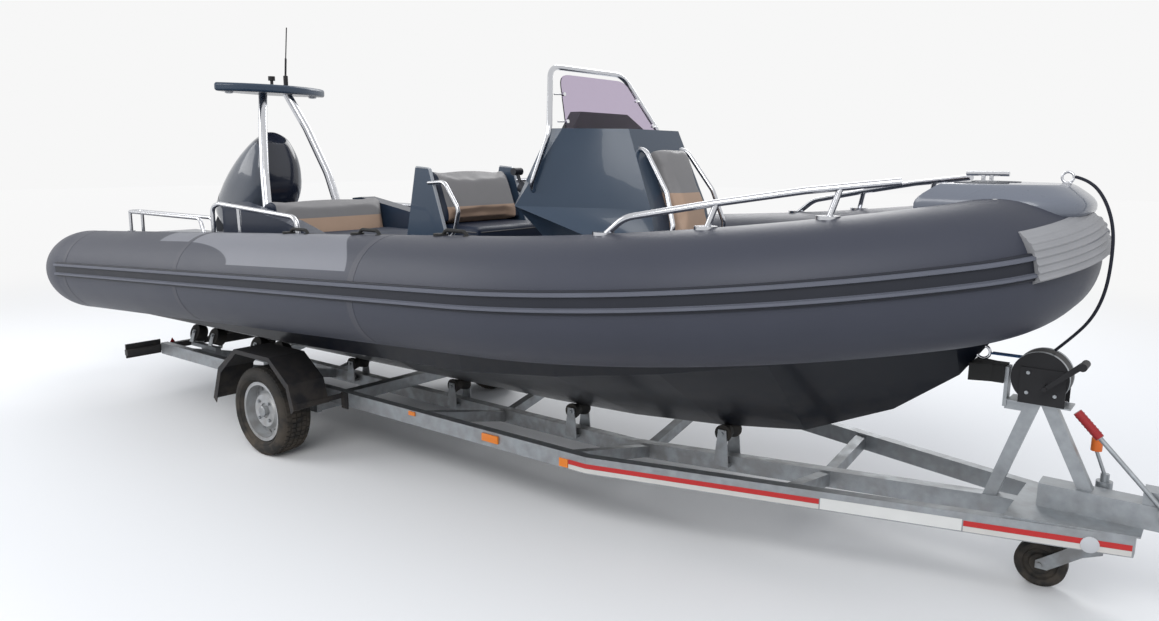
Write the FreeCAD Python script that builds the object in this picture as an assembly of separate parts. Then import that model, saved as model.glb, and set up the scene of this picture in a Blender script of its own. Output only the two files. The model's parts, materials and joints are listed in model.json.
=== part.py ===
"""Rigid inflatable boat standing on its single axle road trailer.

Units are millimetres.  X runs forward to the bow, Y to port and Z up from the ground.
Everything is laid out from the point on the ground under the trailer's wheels, and it is
moved along X as it is written, so that the whole outfit's middle is at the origin.
"""
import FreeCAD, Part
import math
import os
from FreeCAD import Vector as V

os.makedirs("parts", exist_ok=True)

# Overall layout
COUPLING_NOSE = 5060.0      # front of the coupling head, from the wheels
STERN_END = -2530.0         # aft tips of the inflated collar
ENGINE_END = -2797.0        # aft end of the engine as it is parked, tipped up
ORIGIN_X = (COUPLING_NOSE + ENGINE_END) / 2.0
PARKED_GAP = 0.3            # between pieces that rest on each other
SEAM = 1.0                  # how far a cutting box runs past what it cuts

# Collar: two inflated tubes that meet at the bow
TUBE_R = 270.0
TUBE_HALF_BEAM = 1000.0     # tube's middle line from the boat's
TUBE_Z = 1034.0             # its height at the wheels
SHEER_SLOPE = 0.053         # rise of the tubes along the boat
BOW_RISE = 0.15             # extra rise of the bow curve, per length that it turns in
BOW_TIP = 4030.0            # foremost point of the collar
BOW_R_LONG = 2900.0         # long curve of the shoulder
BOW_TURN = 38.0             # degrees that the long curve turns
CONE_START = -1980.0        # where the tubes begin to taper at the stern
CONE_END_R = 60.0
STRAKE_WIDE = 96.0
STRAKE_PROUD = 9.0
STRAKE_LIFT = 25.0          # the strake's middle line over the tube's
RIB_PITCH = 60.0
RIB_R = 9.0

# Hull, deck and inside mouldings
TRANSOM_X = -1730.0
TRANSOM_THICK = 62.0
TRANSOM_TOP = 1010.0
SOLE_Z = 840.0
DECK_THICK = 40.0
FOREDECK_AFT = 2900.0
HULL_WALL = 40.0
WALL = 8.0                  # moulded plastic wall of the console and lockers

# Hull sections: x, keel z, chine y, chine z, gunwale y, gunwale z.
# The half widths are drawn for a tube line 1000 mm out, and follow it.
BEAM_SHARE = TUBE_HALF_BEAM / 1000.0
HULL_TABLE = (
    (TRANSOM_X, 318.0, 780.0, 600.0, 850.0, 860.0),
    (0.0, 340.0, 790.0, 632.0, 860.0, 960.0),
    (1400.0, 360.0, 765.0, 680.0, 845.0, 1010.0),
    (1950.0, 380.0, 700.0, 730.0, 800.0, 1040.0),
    (2450.0, 424.0, 590.0, 800.0, 700.0, 1075.0),
    (2900.0, 487.0, 440.0, 880.0, 560.0, 1110.0),
    (3300.0, 665.0, 270.0, 980.0, 400.0, 1150.0),
    (3560.0, 862.0, 140.0, 1070.0, 250.0, 1180.0),
    (3740.0, 1120.0, 30.0, 1150.0, 60.0, 1210.0),
)
HULL_SECTIONS = tuple((x, keel, chine_y * BEAM_SHARE, chine_z, gun_y * BEAM_SHARE, gun_z)
                      for x, keel, chine_y, chine_z, gun_y, gun_z in HULL_TABLE)

# Trailer wheels and axle
TYRE_DIA = 525.0
TYRE_WIDE = 195.0
TREAD_WIDE = 160.0
BEAD_R = 165.0
RIM_WIDE = 150.0
FLANGE_R = 176.0
RIM_THICK = 8.0
WHEEL_Y = 945.0             # wheel's middle plane
HUB_R = 48.0
STUB_R = 20.0
STUB_CLEAR = 0.05
RIM_SLOTS = 14
AXLE_SIDE = 70.0
AXLE_X = 140.0
ARM_THICK = 34.0

# Trailer frame
RAIL_Y = 700.0
RAIL_WIDE = 50.0
RAIL_TALL = 80.0
RAIL_TOP = 385.0
RAIL_AFT = -1720.0
RAIL_BEND_X = 2150.0
RAIL_FRONT_X = 4250.0
RAIL_FRONT_Y = 115.0
SPINE_WIDE = 60.0
SPINE_TALL = 80.0
SPINE_LOW_TOP = 235.0
SPINE_BEND_X = 1950.0
SPINE_RISE_X = 3750.0
SPINE_FRONT_X = 4200.0
GUSSET_THICK = 6.0
DRAWBAR_WIDE = 100.0
DRAWBAR_TALL = 94.0
DRAWBAR_FRONT = 4600.0
DRAWBAR_LONG = 700.0
DRAWBAR_AFT = DRAWBAR_FRONT - DRAWBAR_LONG
BRACE_WIDE = 50.0
BRACE_X = (-1430.0, -650.0, 1000.0, 2030.0, 3020.0)
TOW_BALL_R = 25.0
TOW_BALL_X = 4980.0
TOW_BALL_Z = 430.0

# Rollers under the boat
KEEL_ROLLER_X = (-1530.0, -400.0, 600.0, 1550.0, 2500.0)
KEEL_ROLLER_R = 30.0
KEEL_ROLLER_END_R = 44.0
KEEL_ROLLER_LONG = 120.0
SIDE_ROLLER_R = 58.0
SIDE_ROLLER_LONG = 70.0
SIDE_ROLLER_Y = 500.0
SIDE_ROLLER_REACH = 125.0   # rollers fore and aft of each cradle's middle
PIN_R = 9.0

# Jockey wheel
JOCKEY_X = 4110.0
JOCKEY_Y = 95.0
JOCKEY_TUBE_R = 30.0
JOCKEY_STEM_R = 24.0
JOCKEY_WHEEL_R = 100.0
JOCKEY_WHEEL_WIDE = 60.0
JOCKEY_TRAIL = 190.0

# Engine
TILT_X = -1700.0
TILT_Z = 1050.0
TILT_REST = 45.0            # degrees tipped up, as towed
STEER_OFFSET = 175.0        # steering line behind the tilt tube
PROP_R = 185.0
PROP_HUB_R = 48.0
PROP_AFT = 570.0            # propeller's middle behind the tilt tube, engine upright
PROP_DOWN = 830.0           # and below it

# Handrails
RAIL_TUBE_R = 14.0
ARCH_TUBE_R = 30.0


def box(x0, x1, y0, y1, z0, z1):
    return Part.makeBox(x1 - x0, y1 - y0, z1 - z0, V(x0, y0, z0))


def cyl(start, end, radius):
    start = V(*start)
    run = V(*end) - start
    return Part.makeCylinder(radius, run.Length, start, run)


def cone(start, end, r0, r1):
    start = V(*start)
    run = V(*end) - start
    return Part.makeCone(r0, r1, run.Length, start, run)


def face(points):
    return Part.Face(Part.makePolygon([V(*p) for p in points] + [V(*points[0])]))


def prism_y(points_xz, y0, y1):
    """Outline in the XZ plane, extruded along Y."""
    return face([(x, y0, z) for x, z in points_xz]).extrude(V(0, y1 - y0, 0))


def prism_z(points_xy, z0, z1):
    """Outline in the XY plane, extruded along Z."""
    return face([(x, y, z0) for x, y in points_xy]).extrude(V(0, 0, z1 - z0))


def prism_x(points_yz, x0, x1):
    """Outline in the YZ plane, extruded along X."""
    return face([(x0, y, z) for y, z in points_yz]).extrude(V(x1 - x0, 0, 0))


def loft(sections):
    wires = [Part.makePolygon([V(*p) for p in s] + [V(*s[0])]) for s in sections]
    return Part.makeLoft(wires, True, True)


def revolve(points, base, axis, angle=360.0):
    """Solid of revolution from a closed outline given as points."""
    return face(points).revolve(V(*base), V(*axis), angle)


def fuse(shapes):
    out = shapes[0]
    if len(shapes) > 1:
        out = out.fuse(list(shapes[1:]))
    return out.removeSplitter()


def group(shapes):
    """Solids that share a node without touching."""
    return Part.makeCompound([s for shape in shapes for s in shape.Solids])


def mirrored(shape):
    return shape.mirror(V(0, 0, 0), V(0, 1, 0))


def both_sides(shape):
    return group([shape, mirrored(shape)])


def turned(shape, degrees, centre, axis):
    out = shape.copy()
    out.rotate(V(*centre), V(*axis), degrees)
    return out


def bent_bar(points, radius, bend):
    """Round bar along straight runs with a tangent arc at each corner."""
    pts = [V(*p) for p in points]
    edges = []
    here = pts[0]
    for before, corner, after in zip(pts[:-2], pts[1:-1], pts[2:]):
        a = (before - corner).normalize()
        b = (after - corner).normalize()
        half = math.acos(max(-1.0, min(1.0, a.dot(b)))) / 2.0
        set_back = bend / math.tan(half)
        limit = 0.48 * min((before - corner).Length, (after - corner).Length)
        set_back = min(set_back, limit)
        r = set_back * math.tan(half)
        start = corner + a * set_back
        end = corner + b * set_back
        middle = corner + (a + b).normalize() * (r / math.sin(half) - r)
        edges.append(Part.LineSegment(here, start).toShape())
        edges.append(Part.Arc(start, middle, end).toShape())
        here = end
    edges.append(Part.LineSegment(here, pts[-1]).toShape())
    path = Part.Wire(edges)
    along = (pts[1] - pts[0]).normalize()
    ring = Part.Wire(Part.makeCircle(radius, pts[0], along))
    return path.makePipeShell([ring], True, False)


def save(node, shape):
    out = shape.copy()
    out.translate(V(-ORIGIN_X, 0, 0))
    out.exportStep("parts/%s.step" % node)


def interpolate(x, column):
    """Value of a hull table column at a station."""
    for low, high in zip(HULL_SECTIONS[:-1], HULL_SECTIONS[1:]):
        if low[0] <= x <= high[0]:
            share = (x - low[0]) / (high[0] - low[0])
            return low[column] + share * (high[column] - low[column])
    raise ValueError("station outside the hull")


def keel_z(x):
    return interpolate(x, 1)


def hull_bottom_z(x, y):
    rise = (interpolate(x, 3) - interpolate(x, 1)) / interpolate(x, 2)
    return keel_z(x) + abs(y) * rise


def tube_line_z(x):
    return TUBE_Z + SHEER_SLOPE * x


# Collar
# The bow curve lies in a plane that holds the straight run and leans up as it turns in.
BOW_LEAN = math.atan(BOW_RISE)
ALONG = V(1, 0, SHEER_SLOPE).normalize()
INWARD = V(0, math.cos(BOW_LEAN), math.sin(BOW_LEAN))
INWARD = (INWARD - ALONG * INWARD.dot(ALONG)).normalize()
TURN = math.radians(BOW_TURN)
HALF_ACROSS = TUBE_HALF_BEAM / INWARD.y
BOW_R_SHORT = (HALF_ACROSS - BOW_R_LONG * (1 - math.cos(TURN))) / math.cos(TURN)
BOW_LENGTH = BOW_R_LONG * math.sin(TURN) + BOW_R_SHORT * (1 - math.sin(TURN))
BOW_START = BOW_TIP - TUBE_R - BOW_LENGTH * ALONG.x


def collar_point(turn_degrees):
    """Point of the starboard tube's middle line on the bow curve."""
    t = math.radians(turn_degrees)
    start = V(BOW_START, -TUBE_HALF_BEAM, tube_line_z(BOW_START))
    along = BOW_R_LONG * math.sin(min(t, TURN))
    inward = BOW_R_LONG * (1 - math.cos(min(t, TURN)))
    if t > TURN:
        along += BOW_R_SHORT * (math.sin(t) - math.sin(TURN))
        inward += BOW_R_SHORT * (math.cos(TURN) - math.cos(t))
    return start + ALONG * along + INWARD * inward


def collar_at_x(x):
    """Point of the starboard tube's middle line at a station."""
    if x <= BOW_START:
        return V(x, -TUBE_HALF_BEAM, tube_line_z(x))
    low, high = 0.0, 90.0
    while high - low > 0.01:
        middle = (low + high) / 2.0
        if collar_point(middle).x < x:
            low = middle
        else:
            high = middle
    return collar_point(low)


def tube_solid():
    """Starboard tube from its cone to the middle line of the bow."""
    a = V(CONE_START, -TUBE_HALF_BEAM, tube_line_z(CONE_START))
    b = collar_point(0)
    past = collar_point(90)
    end = past + INWARD * 60.0
    edges = [
        Part.LineSegment(a, b).toShape(),
        Part.Arc(b, collar_point(BOW_TURN / 2), collar_point(BOW_TURN)).toShape(),
        Part.Arc(collar_point(BOW_TURN), collar_point((BOW_TURN + 90) / 2), past).toShape(),
        Part.LineSegment(past, end).toShape(),
    ]
    ring = Part.Wire(Part.makeCircle(TUBE_R, a, ALONG))
    body = Part.Wire(edges).makePipeShell([ring], True, False)
    tip = (STERN_END - CONE_START) / ALONG.x
    profile = [
        Part.LineSegment(V(0, 0, 0), V(0, 0, TUBE_R)).toShape(),
        Part.Arc(V(0, 0, TUBE_R), V(0.62 * tip, 0, 0.76 * TUBE_R), V(tip, 0, CONE_END_R)).toShape(),
        Part.LineSegment(V(tip, 0, CONE_END_R), V(tip, 0, 0)).toShape(),
        Part.LineSegment(V(tip, 0, 0), V(0, 0, 0)).toShape(),
    ]
    cap = Part.Face(Part.Wire(profile)).revolve(V(0, 0, 0), V(1, 0, 0), 360)
    cap.rotate(V(0, 0, 0), V(0, 1, 0), -math.degrees(math.atan(SHEER_SLOPE)))
    cap.translate(a)
    solid = body.fuse(cap).removeSplitter()
    return solid.cut(box(STERN_END - 500, BOW_TIP + 500, 0, 1500, 0, 2500))


TUBE = tube_solid()
TUBE_PAIR = TUBE.fuse(mirrored(TUBE))


def swept_strake(reach, lift, ring_points):
    """Bar swept along the tube's widest line, its section given about that line."""
    shift = V(0, -reach, lift)
    a = V(CONE_START, -TUBE_HALF_BEAM, tube_line_z(CONE_START)) + shift
    b = collar_point(0) + shift
    edges = [Part.LineSegment(a, b).toShape()]
    scale_long = BOW_R_LONG + reach
    scale_short = BOW_R_SHORT + reach

    def point(turn_degrees):
        t = math.radians(turn_degrees)
        along = scale_long * math.sin(min(t, TURN))
        inward = scale_long * (1 - math.cos(min(t, TURN)))
        if t > TURN:
            along += scale_short * (math.sin(t) - math.sin(TURN))
            inward += scale_short * (math.cos(TURN) - math.cos(t))
        return b + ALONG * along + INWARD * inward

    end = point(90)
    edges.append(Part.Arc(b, point(BOW_TURN / 2), point(BOW_TURN)).toShape())
    edges.append(Part.Arc(point(BOW_TURN), point((BOW_TURN + 90) / 2), end).toShape())
    edges.append(Part.LineSegment(end, end + INWARD * 60.0).toShape())
    up = ALONG.cross(V(0, 1, 0)).normalize() * -1.0
    if up.z < 0:
        up = up * -1.0
    pts = [a + V(0, -p[0], 0) + up * p[1] for p in ring_points]
    ring = Part.makePolygon(pts + [pts[0]])
    bar = Part.Wire(edges).makePipeShell([ring], True, False)
    return bar.cut(box(STERN_END - 500, BOW_TIP + 500, 0, 1500, 0, 2500))


def rubbing_strake():
    half = STRAKE_WIDE / 2
    inner = -60.0
    rib = RIB_PITCH / 2
    section = (
        (inner, -half), (STRAKE_PROUD - 4, -half), (STRAKE_PROUD, -half + 4),
        (STRAKE_PROUD, -rib - RIB_R), (STRAKE_PROUD + 12, -rib - 5),
        (STRAKE_PROUD + 12, -rib + 5), (STRAKE_PROUD, -rib + RIB_R),
        (STRAKE_PROUD, rib - RIB_R), (STRAKE_PROUD + 12, rib - 5),
        (STRAKE_PROUD + 12, rib + 5), (STRAKE_PROUD, rib + RIB_R),
        (STRAKE_PROUD, half - 4), (STRAKE_PROUD - 4, half), (inner, half),
    )
    bar = swept_strake(TUBE_R, STRAKE_LIFT, section)
    bar = bar.cut(TUBE)
    solids = sorted(bar.Solids, key=lambda s: -s.Volume)
    return solids[0]


def hull_half_width(x, z):
    """Hull's half width at a height above the chine's inner end, up to the gunwale."""
    keel, chine_y, chine_z = interpolate(x, 1), interpolate(x, 2), interpolate(x, 3)
    gun_y, gun_z = interpolate(x, 4), interpolate(x, 5)
    if z < chine_z:
        return chine_y * (z - keel) / (chine_z - keel)
    return chine_y + (gun_y - chine_y) * (z - chine_z) / (gun_z - chine_z)


DECK_STATIONS = [row[0] for row in HULL_SECTIONS if row[0] <= FOREDECK_AFT]


def deck_half_width(x):
    return hull_half_width(x, SOLE_Z - DECK_THICK) - HULL_WALL


def cockpit_space():
    """Room over the deck's underside, inside the hull's walls."""
    floor = SOLE_Z - DECK_THICK
    sections = []
    for x in DECK_STATIONS:
        low, high = deck_half_width(x), interpolate(x, 4) - HULL_WALL
        x = x - SEAM if x == TRANSOM_X else x
        gun_z = interpolate(max(x, TRANSOM_X), 5)
        sections.append(((x, -low, floor), (x, low, floor), (x, high, gun_z), (x, high, 1600),
                         (x, -high, 1600), (x, -high, gun_z)))
    return loft(sections)


def hull():
    sections = []
    for x, keel, chine_y, chine_z, gun_y, gun_z in HULL_SECTIONS:
        sections.append(((x, 0, keel), (x, chine_y, chine_z), (x, gun_y, gun_z),
                         (x, -gun_y, gun_z), (x, -chine_y, chine_z)))
    shell = loft(sections).cut(cockpit_space()).cut(TUBE_PAIR).cut(locker_space())
    return max(shell.Solids, key=lambda s: s.Volume)


def deck():
    half = [(max(x, TRANSOM_X + TRANSOM_THICK), deck_half_width(x) - PARKED_GAP) for x in DECK_STATIONS]
    outline = half + [(x, -y) for x, y in reversed(half)]
    plate = prism_z(outline, SOLE_Z - DECK_THICK, SOLE_Z).cut(TUBE_PAIR)
    return max(plate.Solids, key=lambda s: s.Volume)


def transom():
    floor = SOLE_Z - DECK_THICK
    side_top = 1150.0
    outline = ((-780, floor), (780, floor), (760, side_top), (400, side_top),
               (330, TRANSOM_TOP), (-330, TRANSOM_TOP), (-400, side_top), (-760, side_top))
    plate = prism_x(outline, TRANSOM_X, TRANSOM_X + TRANSOM_THICK).cut(TUBE_PAIR)
    return max(plate.Solids, key=lambda s: s.Volume)


# Bow locker with its lid, and the step moulding on the tubes
LOCKER_TOP = 1190.0
LOCKER_FORE = 3330.0
LOCKER_LID = (2955.0, 3275.0, 200.0)    # aft edge, fore edge, half width
LOCKER_FLOOR = 930.0
LID_THICK = 22.0
LID_GAP = 4.0
HINGE_R = 5.0               # hinge barrels of the lids
HINGE_LONG = 70.0
HINGE_Y = 140.0


def locker_space():
    aft, fore, half = LOCKER_LID
    space = box(aft + 25, fore - 25, -half + 25, half - 25, LOCKER_FLOOR, LOCKER_TOP + 10)
    rebate = box(aft - LID_GAP, fore + LID_GAP, -half - LID_GAP, half + LID_GAP,
                 LOCKER_TOP - LID_THICK - PARKED_GAP, LOCKER_TOP + 10)
    return space.fuse(rebate)


def foredeck():
    """Moulding from the hull's gunwales up to the locker's lid, between the tubes."""
    sections = []
    for x in (FOREDECK_AFT, LOCKER_FORE):
        y, z = interpolate(x, 4), interpolate(x, 5)
        sections.append(((x, -y, z), (x, y, z), (x, y, LOCKER_TOP), (x, -y, LOCKER_TOP)))
    block = loft(sections).cut(TUBE_PAIR).cut(locker_space())
    return max(block.Solids, key=lambda s: s.Volume)


def bow_lid():
    aft, fore, half = LOCKER_LID
    panel = box(aft, fore, -half, half, LOCKER_TOP - LID_THICK, LOCKER_TOP)
    grip = box(aft + 30, aft + 55, -50, 50, LOCKER_TOP, LOCKER_TOP + 14)
    pieces = [panel, grip]
    for y in (-HINGE_Y, HINGE_Y):
        y0, y1 = y - HINGE_LONG / 2, y + HINGE_LONG / 2
        pieces.append(box(fore - 25, fore - 1, y0, y1, LOCKER_TOP, LOCKER_TOP + 5))
        pieces.append(box(fore - 5, fore + 8, y0, y1, LOCKER_TOP + 1, LOCKER_TOP + 5))
        pieces.append(cyl((fore + 8, y0, LOCKER_TOP + 6), (fore + 8, y1, LOCKER_TOP + 6), HINGE_R))
    return fuse(pieces)


STEP_TOP = 1660.0
STEP_BASE = 1440.0


def bow_step():
    base = ((3420, -350), (3740, -300), (3985, -130), (3985, 130), (3740, 300), (3420, 350))
    top = ((3500, -270), (3730, -225), (3900, -95), (3900, 95), (3730, 225), (3500, 270))
    low = ((3420, -350), (3740, -290), (3860, -120), (3860, 120), (3740, 290), (3420, 350))
    sections = ([(x, y, STEP_BASE) for x, y in low],
                [(x, y, STEP_TOP - 112) for x, y in base],
                [(x, y, STEP_TOP - 60) for x, y in base],
                [(x, y, STEP_TOP) for x, y in top])
    block = loft(sections).cut(TUBE_PAIR).cut(both_sides(rubbing_strake()))
    return max(block.Solids, key=lambda s: s.Volume)


STRAP_EYE_X = 3662.0


def bow_fittings():
    """Cleat and ring on the bow step, and the towing eye on the stem."""
    z = STEP_TOP
    base = box(3560, 3640, -22, 22, z, z + 8)
    posts = [cyl((x, 0, z), (x, 0, z + 30), 8) for x in (3585, 3615)]
    horn = cyl((3520, 0, z + 34), (3680, 0, z + 34), 9)
    cleat = fuse([base] + posts + [horn])
    ring_base = box(3868, 3900, -18, 18, z, z + 6)
    ring = Part.makeTorus(20, 5, V(3884, 0, z + 26), V(0, 1, 0))
    eye = Part.makeTorus(26, 6, V(STRAP_EYE_X - 18, 0, STRAP_Z + 1.5), V(0, 1, 0)).cut(hull())
    eye = max(eye.Solids, key=lambda s: s.BoundBox.XMax)
    return group([cleat, fuse([ring_base, ring]), eye])


def rail_feet(points, radius, thick):
    """Round pads where a rail stands on a tube, sunk to the tube and cut by it."""
    pads = []
    for p in points:
        pads.append(cyl((p[0], p[1], p[2] - 40), (p[0], p[1], p[2] + thick), radius))
    return pads


def tube_top(x):
    p = collar_at_x(x)
    return V(p.x, p.y, p.z + TUBE_R)


def bow_rails():
    foot = tube_top(2390)
    leg_a = tube_top(2792)
    leg_b = tube_top(3202)
    route = ((foot.x, foot.y, foot.z - 10), (2490, -935, 1512), (2810, -800, 1575),
             (3120, -660, 1630), (3420, -500, 1668))
    bar = bent_bar(route, RAIL_TUBE_R, 120)
    legs = [cyl((leg_a.x, leg_a.y, leg_a.z - 10), (2822, -794, 1577), RAIL_TUBE_R - 2),
            cyl((leg_b.x, leg_b.y, leg_b.z - 10), (3232, -600, 1644), RAIL_TUBE_R - 2)]
    pads = rail_feet((foot, leg_a, leg_b), 45, 10)
    rail = fuse([bar] + legs + pads).cut(TUBE)
    return both_sides(max(rail.Solids, key=lambda s: s.Volume))


def stern_rails():
    y = -(TUBE_HALF_BEAM - 130.0)
    z_foot = tube_top(230).z
    run = ((230, y, z_foot - 20), (215, y, 1395), (-570, y, 1440), (-650, y, 1418), (-650, y, 1215))
    bar = bent_bar(run, RAIL_TUBE_R, 90)
    leg = cyl((-350, y, 1230), (-360, y, 1425), RAIL_TUBE_R - 2)
    pads = []
    for x in (230, -350, -650):
        top = tube_line_z(x) + math.sqrt(TUBE_R ** 2 - (TUBE_HALF_BEAM + y) ** 2)
        pads.append(cyl((x, y, top - 40), (x, y, top + 10), 38))
    rail = fuse([bar, leg] + pads).cut(TUBE)
    return both_sides(max(rail.Solids, key=lambda s: s.Volume))


def stern_hoops():
    """Flat hoop on each stern quarter, on two legs at its aft end."""
    z = tube_top(-1567).z + 128
    outer, inner = -(TUBE_HALF_BEAM - 60.0), -(TUBE_HALF_BEAM - 140.0)
    fore, aft = -640.0, -1567.0
    route = ((fore, outer, z - 90), (fore - 40, outer, z), (aft - 30, outer, z), (aft - 30, inner, z),
             (fore - 40, inner, z), (fore, inner, z - 110))
    bar = bent_bar(route, RAIL_TUBE_R - 2, 38)
    parts = [bar]
    for y in (outer, inner):
        parts.append(cyl((aft, y, z - 170), (aft, y, z), RAIL_TUBE_R - 3))
        top = tube_line_z(aft) + math.sqrt(TUBE_R ** 2 - (TUBE_HALF_BEAM + y) ** 2)
        parts.append(cyl((aft, y, top - 40), (aft, y, top + 8), 24))
    hoop = fuse(parts).cut(TUBE)
    return both_sides(max(hoop.Solids, key=lambda s: s.Volume))


def lift_handles():
    handles = []
    for x in (430.0, 1010.0, 1610.0):
        top = tube_top(x)
        arch = bent_bar(((x - 95, top.y, top.z - 20), (x - 60, top.y, top.z + 22),
                         (x + 60, top.y, top.z + 22), (x + 95, top.y, top.z - 20)), 9, 30)
        pads = rail_feet((V(x - 95, top.y, top.z), V(x + 95, top.y, top.z)), 34, 5)
        handle = fuse([arch] + pads).cut(TUBE)
        handles.append(max(handle.Solids, key=lambda s: s.Volume))
    return group([group(handles), mirrored(group(handles))])


# Console: moulded shell standing on the sole, with a seat pod on its front
# Levels of the console: z, then x and y of the aft, widest and front corners
CONSOLE_LEVELS = (
    (SOLE_Z, (1560.0, 350.0), (1960.0, 420.0), (2280.0, 270.0)),
    (1350.0, (1590.0, 365.0), (2010.0, 450.0), (2215.0, 270.0)),
    (1500.0, (1470.0, 440.0), (1535.0, 512.0), (2180.0, 265.0)),
    (1880.0, (1680.0, 415.0), (1766.0, 425.0), (2020.0, 230.0)),
)
CONSOLE_WAIST, CONSOLE_BELT, CONSOLE_TOP = CONSOLE_LEVELS[1:]
POD_FRONT = 2600.0
POD_HALF = 250.0
POD_TOP = 1190.0
CUSHION_THICK = 110.0


def console_body(inset):
    """Console and seat pod, pulled in all round by inset."""
    sections = []
    for z, aft, wide, front in CONSOLE_LEVELS:
        if z == SOLE_Z and inset:
            z -= SEAM
        if z == CONSOLE_TOP[0]:
            z -= inset
        half = [(aft[0] + inset, aft[1] - inset), (wide[0], wide[1] - inset),
                (front[0] - inset, front[1] - inset)]
        ring = half + [(x, -y) for x, y in reversed(half)]
        sections.append([(x, y, z) for x, y in ring])
    bottom = SOLE_Z - (SEAM if inset else 0)
    pod = box(2100, POD_FRONT - inset, -POD_HALF + inset, POD_HALF - inset, bottom, POD_TOP - inset)
    return loft(sections).fuse(pod)


def console_shell():
    shell = console_body(0).cut(console_body(WALL))
    return max(shell.removeSplitter().Solids, key=lambda s: s.Volume)


def dash_face(share, out=0.0):
    """Point of the console's sloping aft face, from the belt up, and off it by out."""
    run = V(CONSOLE_TOP[1][0] - CONSOLE_BELT[1][0], 0, CONSOLE_TOP[0] - CONSOLE_BELT[0])
    normal = V(-run.z, 0, run.x).normalize()
    return V(CONSOLE_BELT[1][0], 0, CONSOLE_BELT[0]) + run * share + normal * out


def dash_panel():
    corners = (dash_face(0.10), dash_face(0.92), dash_face(0.92, 6), dash_face(0.10, 6))
    panel = prism_y([(p.x, p.z) for p in corners], -300, 300)
    boss = cyl(tuple(dash_face(HELM_SHARE, 6)), tuple(dash_face(HELM_SHARE, 40)), 42)
    low = [(1684, y, CONSOLE_TOP[0]) for y in (-330, 330)] + [(1752, y, CONSOLE_TOP[0]) for y in (330, -330)]
    high = [(1640, y, 1968) for y in (-205, 205)] + [(1710, y, 1968) for y in (205, -205)]
    hood = loft((low, high))
    return group([fuse([panel, boss]), hood])


def throttle():
    foot = dash_face(0.15)
    out = dash_face(0.15, 70)
    tip = out + V(-30, 0, 75)
    block = cyl((foot.x, -355, foot.z), (out.x, -355, out.z), 30)
    lever = cyl((out.x, -355, out.z), (tip.x, -355, tip.z), 9)
    knob = cyl((tip.x, -385, tip.z), (tip.x, -325, tip.z), 19)
    return fuse([block, lever, knob])


HELM_SHARE = 0.36
HELM_R = 170.0
HELM_OUT = 95.0


def helm_wheel():
    centre = dash_face(HELM_SHARE, HELM_OUT)
    axis = (dash_face(0, 1) - dash_face(0)).normalize()
    turn = FreeCAD.Rotation(V(0, 0, 1), axis)
    rim = Part.makeTorus(HELM_R, 14, V(0, 0, 20))
    hub = Part.makeCylinder(36, 54, V(0, 0, 40 - HELM_OUT + PARKED_GAP))
    spokes = []
    for k in range(3):
        spoke = box(20, HELM_R, -13, 13, -4, 4)
        spoke.rotate(V(0, 0, 0), V(0, 1, 0), -7)
        spoke.rotate(V(0, 0, 0), V(0, 0, 1), 60 + 120 * k)
        spokes.append(spoke)
    wheel = fuse([rim, hub] + spokes)
    wheel.Placement = FreeCAD.Placement(centre, turn)
    return wheel


FRAME_R = 14.0
FRAME_FOOT = (1615.0, 440.0, 1560.0)
FRAME_LOW = (1632.0, 500.0, 1600.0)
FRAME_KNEE = (1742.0, 495.0, 1862.0)
FRAME_TOP = (1600.0, 315.0, 2187.0)


def windscreen_frame():
    half = (FRAME_FOOT, FRAME_LOW, FRAME_KNEE, FRAME_TOP)
    route = [(x, -y, z) for x, y, z in half] + list(reversed(half))
    bar = bent_bar(route, FRAME_R, 110).cut(console_body(0))
    return max(bar.Solids, key=lambda s: s.Volume)


GLASS_FOOT = (1775.0, 412.0)
GLASS_HEAD = (1632.0, 288.0, 2150.0)
GLASS_THICK = 6.0


def windscreen():
    z = CONSOLE_TOP[0] + PARKED_GAP
    foot_x, foot_y = GLASS_FOOT
    head_x, head_y, head_z = GLASS_HEAD
    back = [(foot_x, -foot_y, z), (foot_x, foot_y, z), (head_x, head_y, head_z), (head_x, -head_y, head_z)]
    front = [(x + GLASS_THICK, y, zz) for x, y, zz in back]
    return loft((back, front))


# Seats
SEAT_GAP = 0.3
SEAT_BACK_HALF = 160.0


def console_seat():
    belt_x, top_x = CONSOLE_BELT[3][0], CONSOLE_TOP[3][0]
    belt_z, top_z = CONSOLE_BELT[0], CONSOLE_TOP[0]
    slope = (top_x - belt_x) / (top_z - belt_z)
    head_z = 1800.0
    head_x = belt_x + slope * (head_z - belt_z)
    low_z = POD_TOP + CUSHION_THICK + SEAT_GAP
    waist_z, waist_x = CONSOLE_WAIST[0], CONSOLE_WAIST[3][0]
    low_x = waist_x + (CONSOLE_LEVELS[0][3][0] - waist_x) * (waist_z - low_z) / (waist_z - SOLE_Z)
    back = prism_y(((low_x + 1, low_z), (waist_x + 1, waist_z), (belt_x + 1, belt_z), (head_x + 1, head_z),
                    (head_x + 55, head_z + 12), (belt_x + 68, belt_z + 12), (low_x + 72, low_z)),
                   -SEAT_BACK_HALF, SEAT_BACK_HALF)
    cushion = box(low_x + 20, POD_FRONT + 35, -POD_HALF + 10, POD_HALF - 10, POD_TOP + PARKED_GAP,
                  POD_TOP + CUSHION_THICK)
    return group([back, cushion])


HELM_POD_X = (520.0, 1060.0)
HELM_POD_HALF = 360.0
HELM_POD_TOP = 1225.0
HELM_SIDE_THICK = 18.0


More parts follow.
